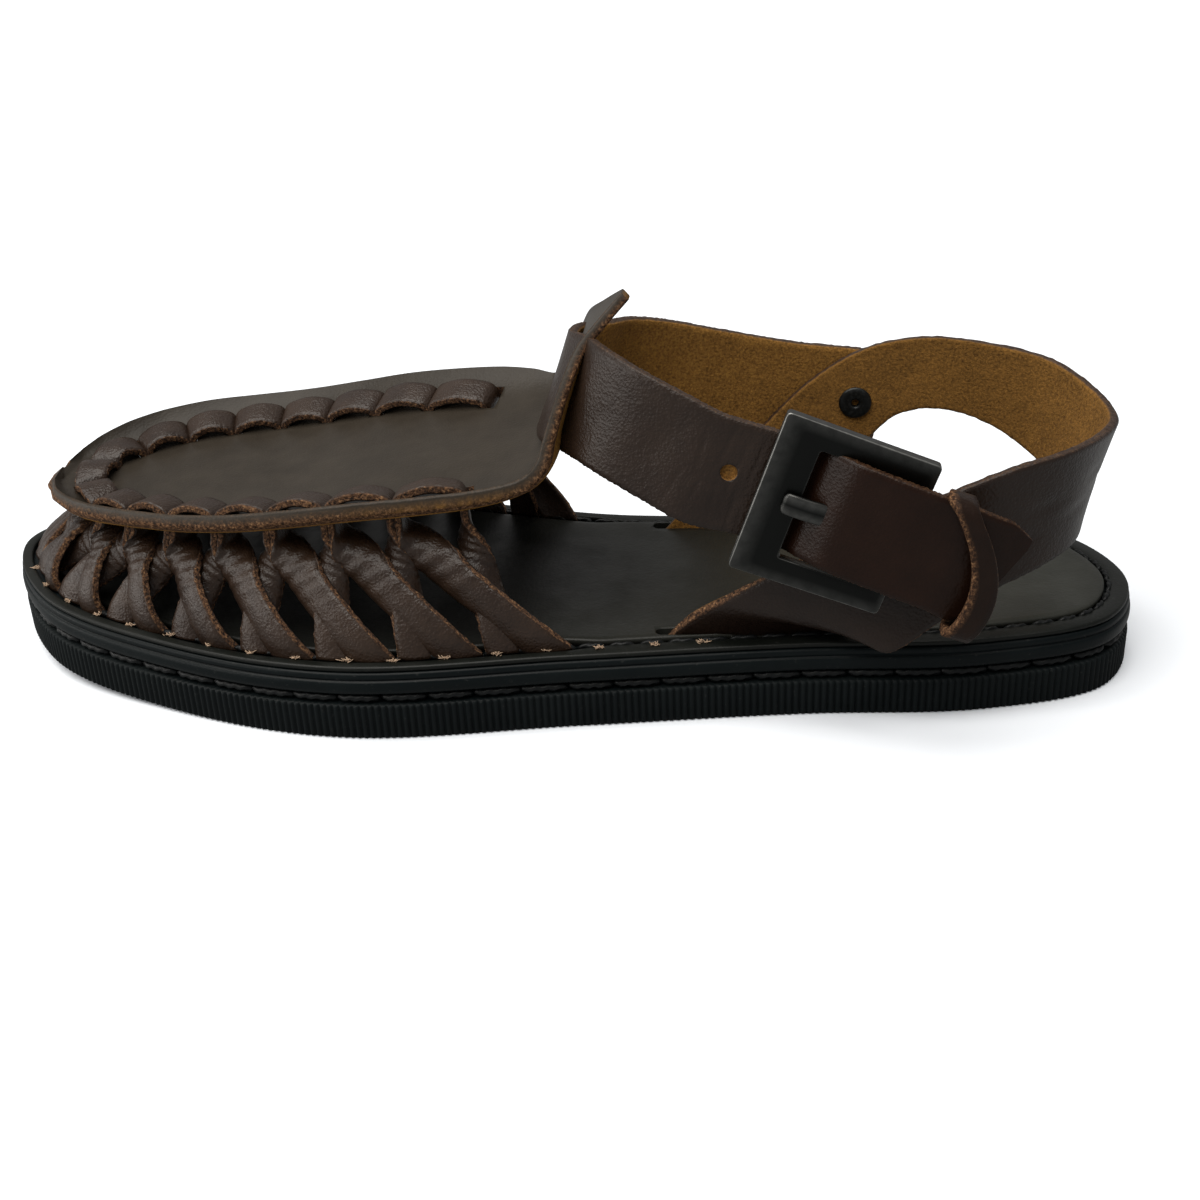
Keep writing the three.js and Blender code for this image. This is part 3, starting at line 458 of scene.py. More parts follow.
def make_insole():
    edge = CHANNEL_INSET + channel_half(INSOLE_POINTS)
    levels = [  # height, inset from the outline
        (17.7, edge),
        (INSOLE_TOP - 0.5, edge),
        (INSOLE_TOP - 0.18, edge + 0.2),
        (INSOLE_TOP, edge + 0.8),
        (INSOLE_TOP, edge + 2),
        (INSOLE_TOP - 0.25, edge + 6),
        (INSOLE_TOP - 0.55, edge + 12),
    ]
    points, faces = skin([sole_ring(INSOLE_POINTS, height, inset) for height, inset in levels])
    black = insole_finish()
    made = piece("insole_leather", points, faces, black)
    for start, end in INSOLE_SLOTS:
        cut(made, *skin(slot_rings(start, end, (17.9, 22.0))), black)
    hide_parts("insole")


make_insole()

# Channel stitches: the same black waxed thread, which sews the upper down to the sole.
# It is pulled into the channel all round the insole.
channel_row = stitch_row(
    pitch=7.2, length=6.6, height=18.75, inset=CHANNEL_INSET - 0.5,
    dip_in=0.4, dip_down=0.7, radius=0.62, twist=3.5, jitter=0.12,
)
piece("channel_stitches", *channel_row, black_thread)

# Thread tufts: cut ends of pale tan thread that stand out of the channel, outside the woven lace.
# Each is a small brush of single fibres.
TUFT_COUNT = 17
TUFT_REAR, TUFT_FRONT = 42, -137  # along the lateral side
FIBRE_RADIUS = 0.19


def share_at(along, lateral):
    """Share of the outline where it passes a place along the shoe, on one side."""
    share = np.linspace(0.0, 0.5, 2000) if lateral else np.linspace(1.0, 0.5, 2000)
    return float(np.interp(along, outline_place(share)[:, 0], share))


def make_tufts():
    pick = random.Random(21)
    fibres = []
    for share in np.linspace(share_at(TUFT_REAR, True), share_at(TUFT_FRONT, True) - 0.004, TUFT_COUNT):
        place = plan(share + pick.uniform(-0.001, 0.001), CHANNEL_INSET - 2.1)[0]
        foot = np.array([place[0], place[1], WELT_TOP + spring(place[0])])
        for _ in range(pick.randint(12, 20)):
            root = foot + [pick.gauss(0, 0.55), pick.gauss(0, 0.3), 0]
            tip = root + [pick.gauss(0, 0.7), pick.gauss(-0.15, 0.45), pick.uniform(0.25, 0.8)]
            way = unit(tip - root)
            stations = [(root + (tip - root) * k, FIBRE_RADIUS * (1 - 0.6 * k)) for k in (0, 0.5, 1)]
            fibres.append(skin([cord_ring(centre, way, radius, 0, 4) for centre, radius in stations]))
    piece("thread_tufts", *joined_up(fibres), thread("tan thread", (0.5, 0.36, 0.25, 1), 0.85))


make_tufts()

# Vamp: the stiff dished plug over the toes and its tongue, cut from one thick vegetable leather.
# It is satin on top, napped underneath, and left raw and fuzzy at its cut edge.
VAMP_CURL = 6  # power of the dish: flat in the middle, turned up at the rim
VAMP = [  # along, height, lateral edge, medial edge, rise of the medial edge, dish, thickness
    (-128.6, 46.2, 3, 7, 0, 6, 3.5),
    (-127.4, 46.6, -4.5, 13.5, 1, 6, 3.5),
    (-124, 47.6, -11.5, 19, 2.6, 6, 3.5),
    (-118, 48.8, -18.2, 24.8, 4, 6, 3.5),
    (-110, 49.9, -24.5, 30, 4.6, 6, 3.5),
    (-98, 50.8, -30, 35, 5, 6, 3.5),
    (-84, 51.5, -34.8, 38, 4.8, 6, 3.5),
    (-70, 52.8, -38, 39, 4.6, 6, 3.5),
    (-55, 55.3, -40.5, 37.5, 5, 6, 3.5),
    (-40, 58, -41.8, 34.5, 6, 6, 3.5),
    (-26, 59.6, -41, 31.5, 7, 6, 3.5),
    (-14, 60.5, -39, 29, 7.6, 5.6, 3.5),
    (-5.4, 61, -37, 26.5, 7, 4.6, 3.4),
    (0.4, 61.6, -35.6, 24.3, 5, 3, 3.2),
    (3.4, 63.8, -34.8, 23.5, 3.5, 1.8, 2.9),
    (5.2, 68.2, -33.5, 23, 2, 1, 2.6),
    (7, 73.2, -31.5, 21.8, 1, 1, 2.4),
    (9.4, 79.6, -28.2, 17.5, 0.5, 1, 2.4),
    (12.4, 85.6, -24, 8.5, 0, 0.8, 2.4),
    (16.9, 90.6, -20, -2, 0, 0.6, 2.4),
    (20.6, 94.2, -16.6, -8.5, 0, 0.4, 2.4),
    (22.4, 95.8, -14.6, -11.4, 0, 0, 2.4),
]
VAMP_TABLE = np.array(VAMP, float)
VAMP_LINE = np.column_stack([VAMP_TABLE[:, 0], np.zeros(len(VAMP)), VAMP_TABLE[:, 1]])
VAMP_EDGES = VAMP_TABLE[:, 2:5]
VAMP_LEATHER = np.column_stack([VAMP_TABLE[:, 5:7], np.zeros(len(VAMP))])
VAMP_CREASES = [  # share of the run, half spread, share across, half spread, depth in mm, slant
    (0.07, 0.012, -0.55, 0.14, 0.35, 0.05),
    (0.11, 0.014, -0.72, 0.12, 0.4, 0.06),
    (0.16, 0.012, -0.8, 0.1, 0.3, 0.05),
    (0.6, 0.006, 0.35, 0.5, 0.3, 0.012),
    (0.625, 0.005, -0.2, 0.6, 0.3, -0.01),
    (0.65, 0.006, 0.1, 0.7, 0.35, 0.008),
    (0.42, 0.05, 0.2, 0.35, 0.4, 0.05),
    (0.3, 0.04, -0.25, 0.3, 0.35, -0.04),
    (0.52, 0.03, -0.5, 0.25, 0.4, 0.03),
]
RIM_LEVELS = (0.2, 0.5, 0.8)  # of the cut edge, from top to underside
RIM_RAW = (0.0, 0.3, 1.0)  # how raw it is there: burnished above, fuzzy below
FRINGE_AT, FRINGE_SPREAD = 0.52, 0.11  # golden nap under the near rim, by share of the run


def vamp_point(t, across):
    """Top of the leather at t along and a share across, -1 lateral to 1 medial."""
    t, across = np.atleast_1d(t), np.atleast_1d(across)
    centre, edges, way = line_at(VAMP_LINE, t), line_at(VAMP_EDGES, t), way_at(VAMP_LINE, t)
    share = (across + 1) / 2
    narrow = np.minimum(1, (edges[:, 1] - edges[:, 0]) / 50)
    sag = line_at(VAMP_LEATHER, t)[:, 0] * (1 - np.abs(across) ** VAMP_CURL) * narrow
    return np.column_stack([
        centre[:, 0] + sag * way[:, 2],
        edges[:, 0] + share * (edges[:, 1] - edges[:, 0]),
        centre[:, 2] + edges[:, 2] * (share - 0.5) - sag * way[:, 0],
    ])


def vamp_normal(t, across):
    step = 1e-3
    t, across = np.atleast_1d(t), np.atleast_1d(across)
    along = vamp_point(np.minimum(1, t + step), across) - vamp_point(np.maximum(0, t - step), across)
    side = vamp_point(t, np.minimum(1, across + step)) - vamp_point(t, np.maximum(-1, across - step))
    return unit(np.cross(along, side))


def toned(n, value, tones):
    """Colours over a value: rows of the value and its colour, from low to high."""
    ramp = n.add("ShaderNodeValToRGB", {0: value})
    stops = ramp.color_ramp.elements
    for at, _ in tones[1:-1]:
        stops.new(at)
    for stop, (at, tone) in zip(stops, tones):
        stop.position = at
        stop.color = tone
    return ramp.outputs[0]


# Raw leather: cut fibres in rust and straw tones, and the golden nap of the flesh side of the hide.
raw_group, n, given, out = node_group(
    "raw fibres", {"Fibre size": 1400.0}, {"Colour": "NodeSocketColor", "Height": "NodeSocketFloat"}
)
fibre = n.noise(n.place(), given["Fibre size"], 5.0, 0.75)
rust_tones = [
    (0.4, (0.012, 0.006, 0.0034, 1)),
    (0.54, (0.125, 0.06, 0.029, 1)),
    (0.72, (0.52, 0.29, 0.135, 1)),
]
n.link(toned(n, fibre, rust_tones), out["Colour"])
n.link(fibre, out["Height"])

nap_group, n, given, out = node_group(
    "suede nap", {"Patch size": 90.0}, {"Colour": "NodeSocketColor", "Height": "NodeSocketFloat"}
)
place = n.place()
nap = n.noise(place, 1500.0, 5.0, 0.75)
patches = n.noise(place, given["Patch size"], 4.0)
worn_nap = n.math("ADD", n.math("MULTIPLY", nap, 0.95), n.math("MULTIPLY", patches, 0.22))
n.link(toned(n, worn_nap, [(0.4, (0.085, 0.038, 0.006, 1)), (0.78, (0.46, 0.225, 0.046, 1))]), out["Colour"])
n.link(nap, out["Height"])


def leather(name, deep, pale, rough, crease, relief, gloss, raw_share=1.0):
    """Finished hide with its grain. The marks raw, flesh and dark show fibres, nap and painted shade."""
    material, n, shader = surface(name)
    grain = n.group(grain_group, {"Crease size": crease})
    fibres = n.group(raw_group)
    nap = n.group(nap_group)
    raw = n.math("MULTIPLY", n.mark("raw"), raw_share)
    dark = n.mark("dark")
    flesh = n.mark("flesh")
    tone = n.mix(grain.outputs["Patches"], deep, pale)
    rubbed = n.math("MULTIPLY", grain.outputs["Creases"], 0.35)
    tone = n.mix(rubbed, tone, [k * 1.5 for k in pale[:3]] + [1])
    # The dark mark is painted shade: it darkens the grain side here and the nap below.
    tone = n.mix(n.math("MULTIPLY", dark, 0.62), tone, (0.006, 0.002, 0.0012, 1))
    inside = n.mix(n.math("MULTIPLY", dark, 0.5), nap.outputs["Colour"], (0.05, 0.022, 0.0035, 1))
    tone = n.mix(flesh, tone, inside)
    n.link(n.mix(raw, tone, fibres.outputs["Colour"]), shader.inputs["Base Color"])
    soft = n.math("MAXIMUM", raw, flesh)
    n.link(n.fade(soft, 0, 1, rough, 0.95), shader.inputs["Roughness"])
    shader.inputs["Specular IOR Level"].default_value = gloss
    fuzz = n.math("MULTIPLY", n.math("MULTIPLY", fibres.outputs["Height"], soft), 3.0)
    bump(n, shader, n.math("ADD", grain.outputs["Height"], fuzz), relief, 0.0004)
    return material


def raw_finish(name, fibre_group):
    """Cut leather all over, in the tones of its fibres."""
    material, n, shader = surface(name)
    fibres = n.group(fibre_group)
    n.link(fibres.outputs["Colour"], shader.inputs["Base Color"])
    shader.inputs["Roughness"].default_value = 0.95
    bump(n, shader, fibres.outputs["Height"], 0.6, 0.0004)
    return material


def creased(creases):
    """Relief of soft troughs pressed into the outer face of a piece of leather."""

    def relief(t, k):
        lift = np.zeros(len(k))
        for at, spread, middle, side, depth, slant in creases:
            lift -= depth * np.exp(-(((t - at - slant * k) / spread) ** 2) - ((k - middle) / side) ** 2)
        return lift

    return relief


def make_vamp():
    rows, columns = 190, 61
    across = np.sin(np.linspace(-math.pi / 2, math.pi / 2, columns))
    relief = creased(VAMP_CREASES)
    pick = np.random.default_rng(5)
    rings, raw, flesh = [], [], []
    for t in np.linspace(0, 1, rows):
        here = np.full(columns, t)
        thick = line_at(VAMP_LEATHER, t)[0, 1]
        plain = vamp_point(here, across)
        top = plain + vamp_normal(here, across) * relief(t, across)[:, None]
        under = plain - vamp_normal(here, np.clip(across, -0.72, 0.72)) * thick
        side = unit(top[-1] - top[0])
        fuzz = pick.uniform(-0.12, 0.22, (2, 3))
        rim = [
            [high * (1 - k) + low * k + side * sign * (0.35 + f) for k, f in zip(RIM_LEVELS, loose)]
            for high, low, sign, loose in ((top[-1], under[-1], 1, fuzz[0]), (top[0], under[0], -1, fuzz[1]))
        ]
        rings.append(np.concatenate([top, rim[0], under[::-1], rim[1][::-1]]))
        edge = np.zeros(columns)
        edge[[0, -1]] = 0.15
        fringe = 0.75 * math.exp(-(((t - FRINGE_AT) / FRINGE_SPREAD) ** 2)) * pick.uniform(0.4, 1)
        near_rim = np.array(RIM_RAW[::-1]) * (1 - fringe)
        raw.append(np.concatenate([edge, RIM_RAW, np.where(np.abs(across) > 0.95, 1, 0), near_rim]))
        flesh.append(np.concatenate([np.zeros(columns + 3), np.ones(columns), (fringe, 0.3 * fringe, 0)]))
    raw[0][:] = 1
    brown = leather(
        "vamp leather",
        deep=(0.022, 0.0172, 0.0122, 1),
        pale=(0.031, 0.025, 0.0185, 1),
        rough=0.42,
        crease=110.0,
        relief=0.25,
        gloss=0.2,
    )
    marks = {"raw": np.concatenate(raw), "flesh": np.concatenate(flesh)}
    made = piece("vamp_leather", *skin(rings), brown, marks)
    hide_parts("vamp")
    return made


vamp = make_vamp()

# Woven lace: strips of the same hide, each stitched over the rim of the plug from slot to slot,
# its two legs turning flat on the way down and crossing as they are sewn into the channel.
LACE_WIDTH = 8.0
LACE_THICKNESS = 2.0
LACE_RIM = 8.8  # lace line from the edge of the plug
LACE_REAR_LATERAL, LACE_REAR_MEDIAL = -14, -16  # where the line ends along the shoe
LACE_TOE_EASE = 0.12  # stitches shorter round the toe
SLOTS = 18
SLOT_OFFSET = 0.85  # from the middle of a slot to each of the two strips in it
FEET = 34
FOOT_REAR_LATERAL, FOOT_REAR_MEDIAL = 6, 0
FOOT_HEIGHT = 18.2
LEG_TOP = -4.8  # under the face of the plug
LEG_STATIONS = (0.1, 0.2, 0.32, 0.45, 0.62, 0.82, 1)
LEG_TURN = math.radians(30)  # each leg turned on itself so that one cut edge faces out
STITCH = [  # share of the stitch, shift along, lift over the leather
    (0, SLOT_OFFSET, LEG_TOP),
    (0, SLOT_OFFSET + 0.25, 0.8),
    (0.25, 0.4, 2.3),
    (0.5, 0, 2.8),
    (0.75, -0.4, 2.3),
    (1, -SLOT_OFFSET - 0.25, 0.8),
    (1, -SLOT_OFFSET, LEG_TOP),
]
UP = np.array([0.0, 0.0, 1.0])


def lace_line():
    """Line of the slots inside the rim, from its lateral rear end round the toe to its medial rear end."""
    half = 160
    steps = np.arange(half, -1, -1) * 0.64 / half
    lateral = vamp_point(steps, np.full(half + 1, -1.0))
    medial = vamp_point(steps[-2::-1], np.full(half, 1.0))
    edge = np.concatenate([lateral, medial])
    points = []
    for i in range(2, len(edge) - 2):
        way = edge[i + 2] - edge[i - 2]
        way = unit(np.array([way[0], way[1], 0]))
        place = edge[i] + LACE_RIM * np.array([way[1], -way[0], 0])
        rear = LACE_REAR_LATERAL if i < half else LACE_REAR_MEDIAL
        if abs(i - half) >= 12 and place[0] <= rear:
            points.append([place[0], place[1], 0])
    keep = [p for i, p in enumerate(points) if i % 6 == 0 or i == len(points) - 1]
    return measured(keep)


lace_place, lace_way, LACE_LENGTH = lace_line()
PLUG_T = np.linspace(0, 0.65, 2000)
PLUG_ALONG = line_at(VAMP_LINE, PLUG_T)[:, 0]


def lace_frame(share):
    """On the leather at a share of the lace line: place, way along, outward and normal."""
    inside = min(1.0, max(0.0, share))
    way = lace_way(inside)[0] * (1, 1, 0)
    spot = lace_place(inside)[0] + way * (share - inside) * LACE_LENGTH
    t = float(np.interp(spot[0], PLUG_ALONG, PLUG_T))
    edges = line_at(VAMP_EDGES, t)[0]
    across = float(np.clip(2 * (spot[1] - edges[0]) / (edges[1] - edges[0]) - 1, -1, 1))
    spot[2] = vamp_point(t, across)[0, 2]
    normal = vamp_normal(t, across)[0]
    way = unit(way - normal * way.dot(normal))
    return spot, way, np.cross(way, normal), normal


def slot_share(slot):
    even = 2 * slot / (SLOTS - 1) - 1
    return (1 + even * (1 - LACE_TOE_EASE * (1 - even * even))) / 2


FOOT_FROM = share_at(FOOT_REAR_LATERAL, True)
FOOT_TO = share_at(FOOT_REAR_MEDIAL, False)


def lace_leg(slot, side):
    """Stations of one leg, centre and half width, from under its slot to the channel."""
    spot, way, out, normal = lace_frame(slot_share(slot))
    lateral = slot < SLOTS / 2
    order = slot if lateral else SLOTS - 1 - slot
    heelward = side < 0 if lateral else side > 0
    foot = 2 * (order - 1) if heelward else 2 * order + 1
    foot = foot if lateral else FEET - 1 - foot
    share = (FOOT_FROM - (FOOT_FROM + 1 - FOOT_TO) * foot / (FEET - 1) + 1) % 1
    place = plan(share, CHANNEL_INSET)[0]
    end = np.array([place[0], place[1], FOOT_HEIGHT + spring(place[0])])
    along = -np.append(outline_way(share)[0], 0)
    away = np.array([-along[1], along[0], 0])
    along[2] = spring(place[0] + along[0]) - spring(place[0])
    start = spot + normal * LEG_TOP + way * side * SLOT_OFFSET
    fall = end - start
    layer = 1 if heelward else -1
    corner = [
        start,
        start + 0.3 * fall - 2.5 * UP + away * (1.6 + 2.6 * layer),
        end - 0.26 * fall + 2.5 * UP + away * (3.6 + 1.8 * layer),
        end,
    ]
    lean = math.hypot(fall.dot(along), fall[2]) / abs(fall[2])
    flat = along * side * lean * LACE_WIDTH / 2
    rows = []
    for t in LEG_STATIONS:
        k = min(1, t / 0.28) if heelward else min(1, max(0, (t - 0.05) / 0.45))
        turn = math.pi / 2 * k * k * (3 - 2 * k)
        weights = ((1 - t) ** 3, 3 * t * (1 - t) ** 2, 3 * t * t * (1 - t), t**3)
        centre = sum(w * c for w, c in zip(weights, corner))
        rows.append(np.concatenate([centre, out * LACE_WIDTH / 2 * math.cos(turn) + flat * math.sin(turn)]))
    return rows


def strip(rows, thickness, columns, fuzz, seed, relief=None):
    """A leather strip through rows of centre, half width and way out: points, faces, raw and flesh marks.

    Relief gives the height of its creases by share of its run and share across.
    """
    flat = np.linspace(-0.975, 0.975, columns)
    edge = [(1.0, 0.62), (1.0, 0.0), (1.0, -0.62)]
    section = [(k, 1.0, 0, 0) for k in flat] + [(k, h, 1, 0) for k, h in edge]
    section += [(k, -1.0, 0, 1) for k in flat[::-1]] + [(-k, -h, 1, 0) for k, h in edge]
    k, h, raw, flesh = (np.array(column, float) for column in zip(*section))
    pick = np.random.default_rng(seed)
    rings = []
    for i, (centre, wide, thick) in enumerate(rows):
        rough = raw * pick.uniform(-fuzz, fuzz, len(k)) / max(np.linalg.norm(wide), 1e-6)
        lift = h * thickness / 2
        if relief:
            lift = lift + relief(i / (len(rows) - 1), k)
        rings.append(centre + np.outer(k * (1 + rough), wide) + np.outer(lift, thick))
    points, faces = skin(rings)
    return points, faces, np.tile(raw, len(rings)), np.tile(flesh, len(rings))


def leg_share(t):
    """How far down a leg a share of the strip's run is: 0 on the stitch, 1 at either foot."""
    return np.clip((np.abs(t - 0.5) - 0.17) / 0.33, 0, 1)


def leg_round(t, k):
    """Legs rounded outward across their width, wrinkled under the slot. Stitches are only a little round."""
    down = leg_share(t)
    wrinkle = 0.22 * math.exp(-(((down - 0.3) / 0.22) ** 2)) * np.sin(60 * down + 2.5 * k)
    return (0.15 - 1.3 * min(1, 4 * down)) * (1 - k * k) + wrinkle


def lace_strip(slot):
    """One strip: leg, stitch from this slot to the next, leg."""
    rows = lace_leg(slot, 1)[::-1]
    first, last = slot_share(slot), slot_share(slot + 1)
    for share, shift, lift in STITCH:
        spot, way, out, normal = lace_frame(first + share * (last - first))
        rows.append(np.concatenate([spot + normal * lift + way * shift, out * LACE_WIDTH / 2]))
    rows += lace_leg(slot + 1, -1)
    t = np.linspace(0, 1, 130)
    fine = line_at(rows, t)
    centre, wide = fine[:, :3], fine[:, 3:]
    run = unit(np.gradient(centre, axis=0))
    thick = unit(np.cross(wide, run))
    turn = LEG_TURN * np.sin(math.pi * leg_share(t)[:, None] ** 0.8)
    half = np.linalg.norm(wide, axis=1, keepdims=True)
    wide = wide * np.cos(turn) - thick * half * np.sin(turn)
    thick = unit(np.cross(wide, run))
    return strip(list(zip(centre, wide, thick)), LACE_THICKNESS, 9, 0.25, slot, leg_round)


def make_lace():
    strips = [lace_strip(slot) for slot in range(SLOTS - 1)]
    brown = leather(
        "lace leather",
        deep=(0.0158, 0.008, 0.0047, 1),
        pale=(0.0295, 0.0166, 0.01, 1),
        rough=0.36,
        crease=220.0,
        relief=0.7,
        gloss=0.36,
    )
    points, faces = joined_up([(made, joined) for made, joined, _, _ in strips])
    raw = np.concatenate([edges for _, _, edges, _ in strips])
    made = piece("woven_lace", points, faces, brown, {"raw": raw})
    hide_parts("woven_upper")


def cut_lace_slots():
    """The slots in the plug, cut square to the leather a little longer than the lace is wide."""
    slots = []
    for slot in range(SLOTS):
        spot, way, out, normal = lace_frame(slot_share(slot))
        wide, long = out * (LACE_WIDTH / 2 + 0.3), way * 2.1
        corners = np.array([-wide - long, wide - long, wide + long, long - wide])
        slots.append(skin([spot + normal * lift + corners for lift in (-8, 3)]))
    cut(vamp, *joined_up(slots), raw_finish("raw leather", raw_group))


make_lace()
cut_lace_slots()

# Heel strap: one strap of thick hide from a slot in the insole, round the heel and down to the other slot,
# smooth outside and napped golden inside, all of it darkened as painted shade.
STRAP_THICKNESS = 2.4
HEEL = [  # lower edge along, across, height, then upper edge along, across, height
    (74, -29, 14.5, 30, -34, 14.5),
    (75.5, -32.2, 22.4, 37, -35.8, 22.8),
    (79, -40.6, 21.6, 46, -38.6, 30),
    (83.5, -44.8, 20.2, 58, -40.2, 38),
    (95, -42.6, 27.2, 75, -40.8, 47.4),
    (106.5, -39.6, 33.8, 93, -40.4, 56.2),
    (116.5, -34.6, 37, 108, -37.8, 61.8),
    (124.5, -26, 38.5, 122, -29.8, 63.2),
    (129, -13, 38.5, 132.8, -14.5, 62),
    (130.5, 0, 37.5, 137.6, 0, 61),
    (129.5, 13, 37.5, 135, 13.5, 63),
    (124.5, 26, 40.5, 126.5, 26, 66.2),
    (113.5, 33, 46.6, 112, 34, 68),
    (101, 35.6, 49.8, 96, 37.2, 68.8),
    (90, 36.4, 48, 80.5, 37.8, 65.6),
    (81, 36.2, 39.6, 66.5, 36.6, 57.2),
    (73, 34.4, 30.6, 54, 34.6, 45),
    (66, 29.4, 23.4, 39, 29.6, 30),
    (60, 25.2, 14.5, 24, 24.8, 14.5),
]
HEEL_CREASES = [  # share of the run, half spread, share across, half spread, depth in mm, slant
    (0.36, 0.02, 0.1, 0.12, 0.35, 0.0),
    (0.4, 0.022, -0.25, 0.12, 0.4, 0.0),
    (0.43, 0.016, 0.3, 0.1, 0.3, 0.0),
    (0.45, 0.02, -0.05, 0.1, 0.35, 0.0),
    (0.33, 0.014, -0.4, 0.14, 0.3, 0.0),
    (0.2, 0.012, 0.2, 0.5, 0.3, 0.012),
    (0.24, 0.008, -0.2, 0.6, 0.25, 0.01),
    (0.53, 0.018, 0.1, 0.14, 0.35, 0.0),
    (0.6, 0.012, -0.1, 0.5, 0.3, 0.01),
]
RAW_FRONT = 0.22  # share of the strap, from its lateral slot, with its edge left raw
HEEL_STRAP_PAINTED_SHADE = 0.6  # how much painted shade darkens the strap

strap_leather = leather(
    "strap leather",
    deep=(0.014, 0.0078, 0.0052, 1),
    pale=(0.024, 0.0145, 0.0098, 1),
    rough=0.34,
    crease=140.0,
    relief=0.6,
    gloss=0.3,
    raw_share=0.25,
)


def strap_rows(lower, upper, centre, steps):
    """Stations of a strap between its edges: centre, half width and the way out."""
    t = np.linspace(0, 1, steps)
    low, high = line_at(lower, t), line_at(upper, t)
    wide = (high - low) / 2
    return list(zip((low + high) / 2, wide, unit(np.cross(way_at(centre, t), wide))))


def make_heel_strap():
    table = np.array(HEEL, float)
    lower, upper = table[:, :3], table[:, 3:]
    rows = strap_rows(lower, upper, (lower + upper) / 2, 240)
    points, faces, raw, flesh = strip(rows, STRAP_THICKNESS, 31, 0.14, 31, creased(HEEL_CREASES))
    raw *= 1 + 2.4 * (np.arange(len(raw)) < RAW_FRONT * len(raw))
    # The whole heel strap is darkened as painted shade.
    marks = {"raw": raw, "flesh": flesh, "dark": np.full(len(points), HEEL_STRAP_PAINTED_SHADE)}
    made = piece("heel_strap_leather", points, faces, strap_leather, marks)
    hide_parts("heel_strap")


make_heel_strap()

# Instep strap: the buckled strap of the same hide, from a rivet on the inner side through the tongue
# and the buckle on the outer side, with a punched hole and a pointed tip. Its end is smoother, and darker as
# painted shade.
INSTEP = [  # along, across, height, lean of the top edge outward in degrees, half width
    (86, 40.9, 49.6, 2, 10),
    (83, 41, 50.2, 2, 13),
    (78.7, 41, 51, 2, 13.5),
    (60, 39.2, 53.8, 0, 13.5),
    (40, 35, 58.8, -2, 13.5),
    (25, 30.8, 63.2, -8, 13.5),
    (16, 25, 65.8, -16, 13.5),
    (11, 15, 68, -20, 13.5),
    (5.4, 5.5, 69.9, -20.5, 13.5),
    (5.3, -5, 71.5, -20.5, 13.5),
    (6.8, -13.5, 73, -20.5, 13.5),
    (11.8, -22.5, 74.4, -19, 13.5),
    (16, -30, 74.6, -14, 13.5),
    (23, -36.6, 72.6, -8, 13.5),
    (33, -40.4, 68.2, -4, 13.5),
    (42, -42.6, 64, -2, 13.5),
]
BUCKLE_RUN = [  # run back from the bar, lift outward, upper and lower half of the width
    (-34, -3.3, 13, 13),
    (-24.6, -3.6, 13.2, 12.6),
    (-19.2, 0.5, 13.9, 11.9),
    (-14.8, 3.4, 14.3, 11.5),
    (-8, 4.8, 14.4, 11.4),
    (0, 5.6, 14.4, 11.4),
    (8.8, 5.6, 14.2, 11.6),
    (16, 4.9, 13.6, 12.2),
    (19.5, 4.2, 13.2, 7),
    (24.6, 3, 10.6, -8.6),
]
INSTEP_CREASES = [  # share of the run, half spread, share across, half spread, depth in mm, slant
    (0.584, 0.0026, -0.45, 0.3, 0.14, 0.009),
    (0.594, 0.0022, 0.35, 0.4, 0.15, -0.004),
    (0.601, 0.002, -0.35, 0.35, 0.17, 0.006),
    (0.608, 0.0018, 0.55, 0.3, 0.2, 0.005),
    (0.6125, 0.0018, -0.5, 0.3, 0.2, -0.003),
    (0.622, 0.0018, 0.15, 0.5, 0.2, 0.004),
    (0.628, 0.0016, -0.5, 0.4, 0.2, -0.002),
    (0.634, 0.0016, 0.4, 0.4, 0.2, 0.002),
    (0.555, 0.012, 0.1, 0.5, 0.3, 0.02),
    (0.5, 0.016, -0.3, 0.5, 0.35, 0.025),
    (0.8, 0.014, 0.2, 0.6, 0.2, -0.015),
    (0.87, 0.012, -0.3, 0.5, 0.18, 0.012),
]
STRAP_END_SHARE = 0.675  # of the run, where the strap goes under the front of the buckle
HOLE_RUN, HOLE_SIDE = -40.5, 1.2  # place of the hole in the buckle's own line
HOLE_RADIUS = 1.9
HOLE_FLOOR = 0.0  # from the middle of the leather
BAR_CENTRE = np.array([85.2, -47.2, 49.6])
BUCKLE_AXIS = unit(np.array([0.942, -0.03, -0.335]))
BUCKLE_OUT = unit(np.cross(BUCKLE_AXIS, (0.335, 0, 0.942)))
BUCKLE_SIDE = unit(np.cross(BUCKLE_OUT, BUCKLE_AXIS))


def in_buckle(run, side, lift):
    """Place in the buckle: run back from the bar, side up along it, lift outward."""
    return (
        BAR_CENTRE
        + np.multiply.outer(run, BUCKLE_AXIS)
        + np.multiply.outer(side, BUCKLE_SIDE)
        + np.multiply.outer(lift, BUCKLE_OUT)
    )


def instep_edges():
    """Centre, lower and upper edge of the strap from its rivet to its tip."""
    near = np.array(BUCKLE_RUN, float)
    buckled = in_buckle(near[:, 0], 0 * near[:, 0], near[:, 1])
    centre = np.concatenate([np.array(INSTEP, float)[:, :3], buckled])
    upper, lower = [], []
    for i, (spot, way) in enumerate(zip(centre, way_at(centre, np.linspace(0, 1, len(centre))))):
        if i < len(INSTEP):
            high = unit(UP - way * way[2])
            lean = math.radians(INSTEP[i][3])
            wide = high * math.cos(lean) + np.cross(way, high) * math.sin(lean)
            halves = (INSTEP[i][4], INSTEP[i][4])
        else:
            wide = BUCKLE_SIDE
            halves = BUCKLE_RUN[i - len(INSTEP)][2:]
        upper.append(spot + wide * halves[0])
        lower.append(spot - wide * halves[1])
    return centre, lower, upper


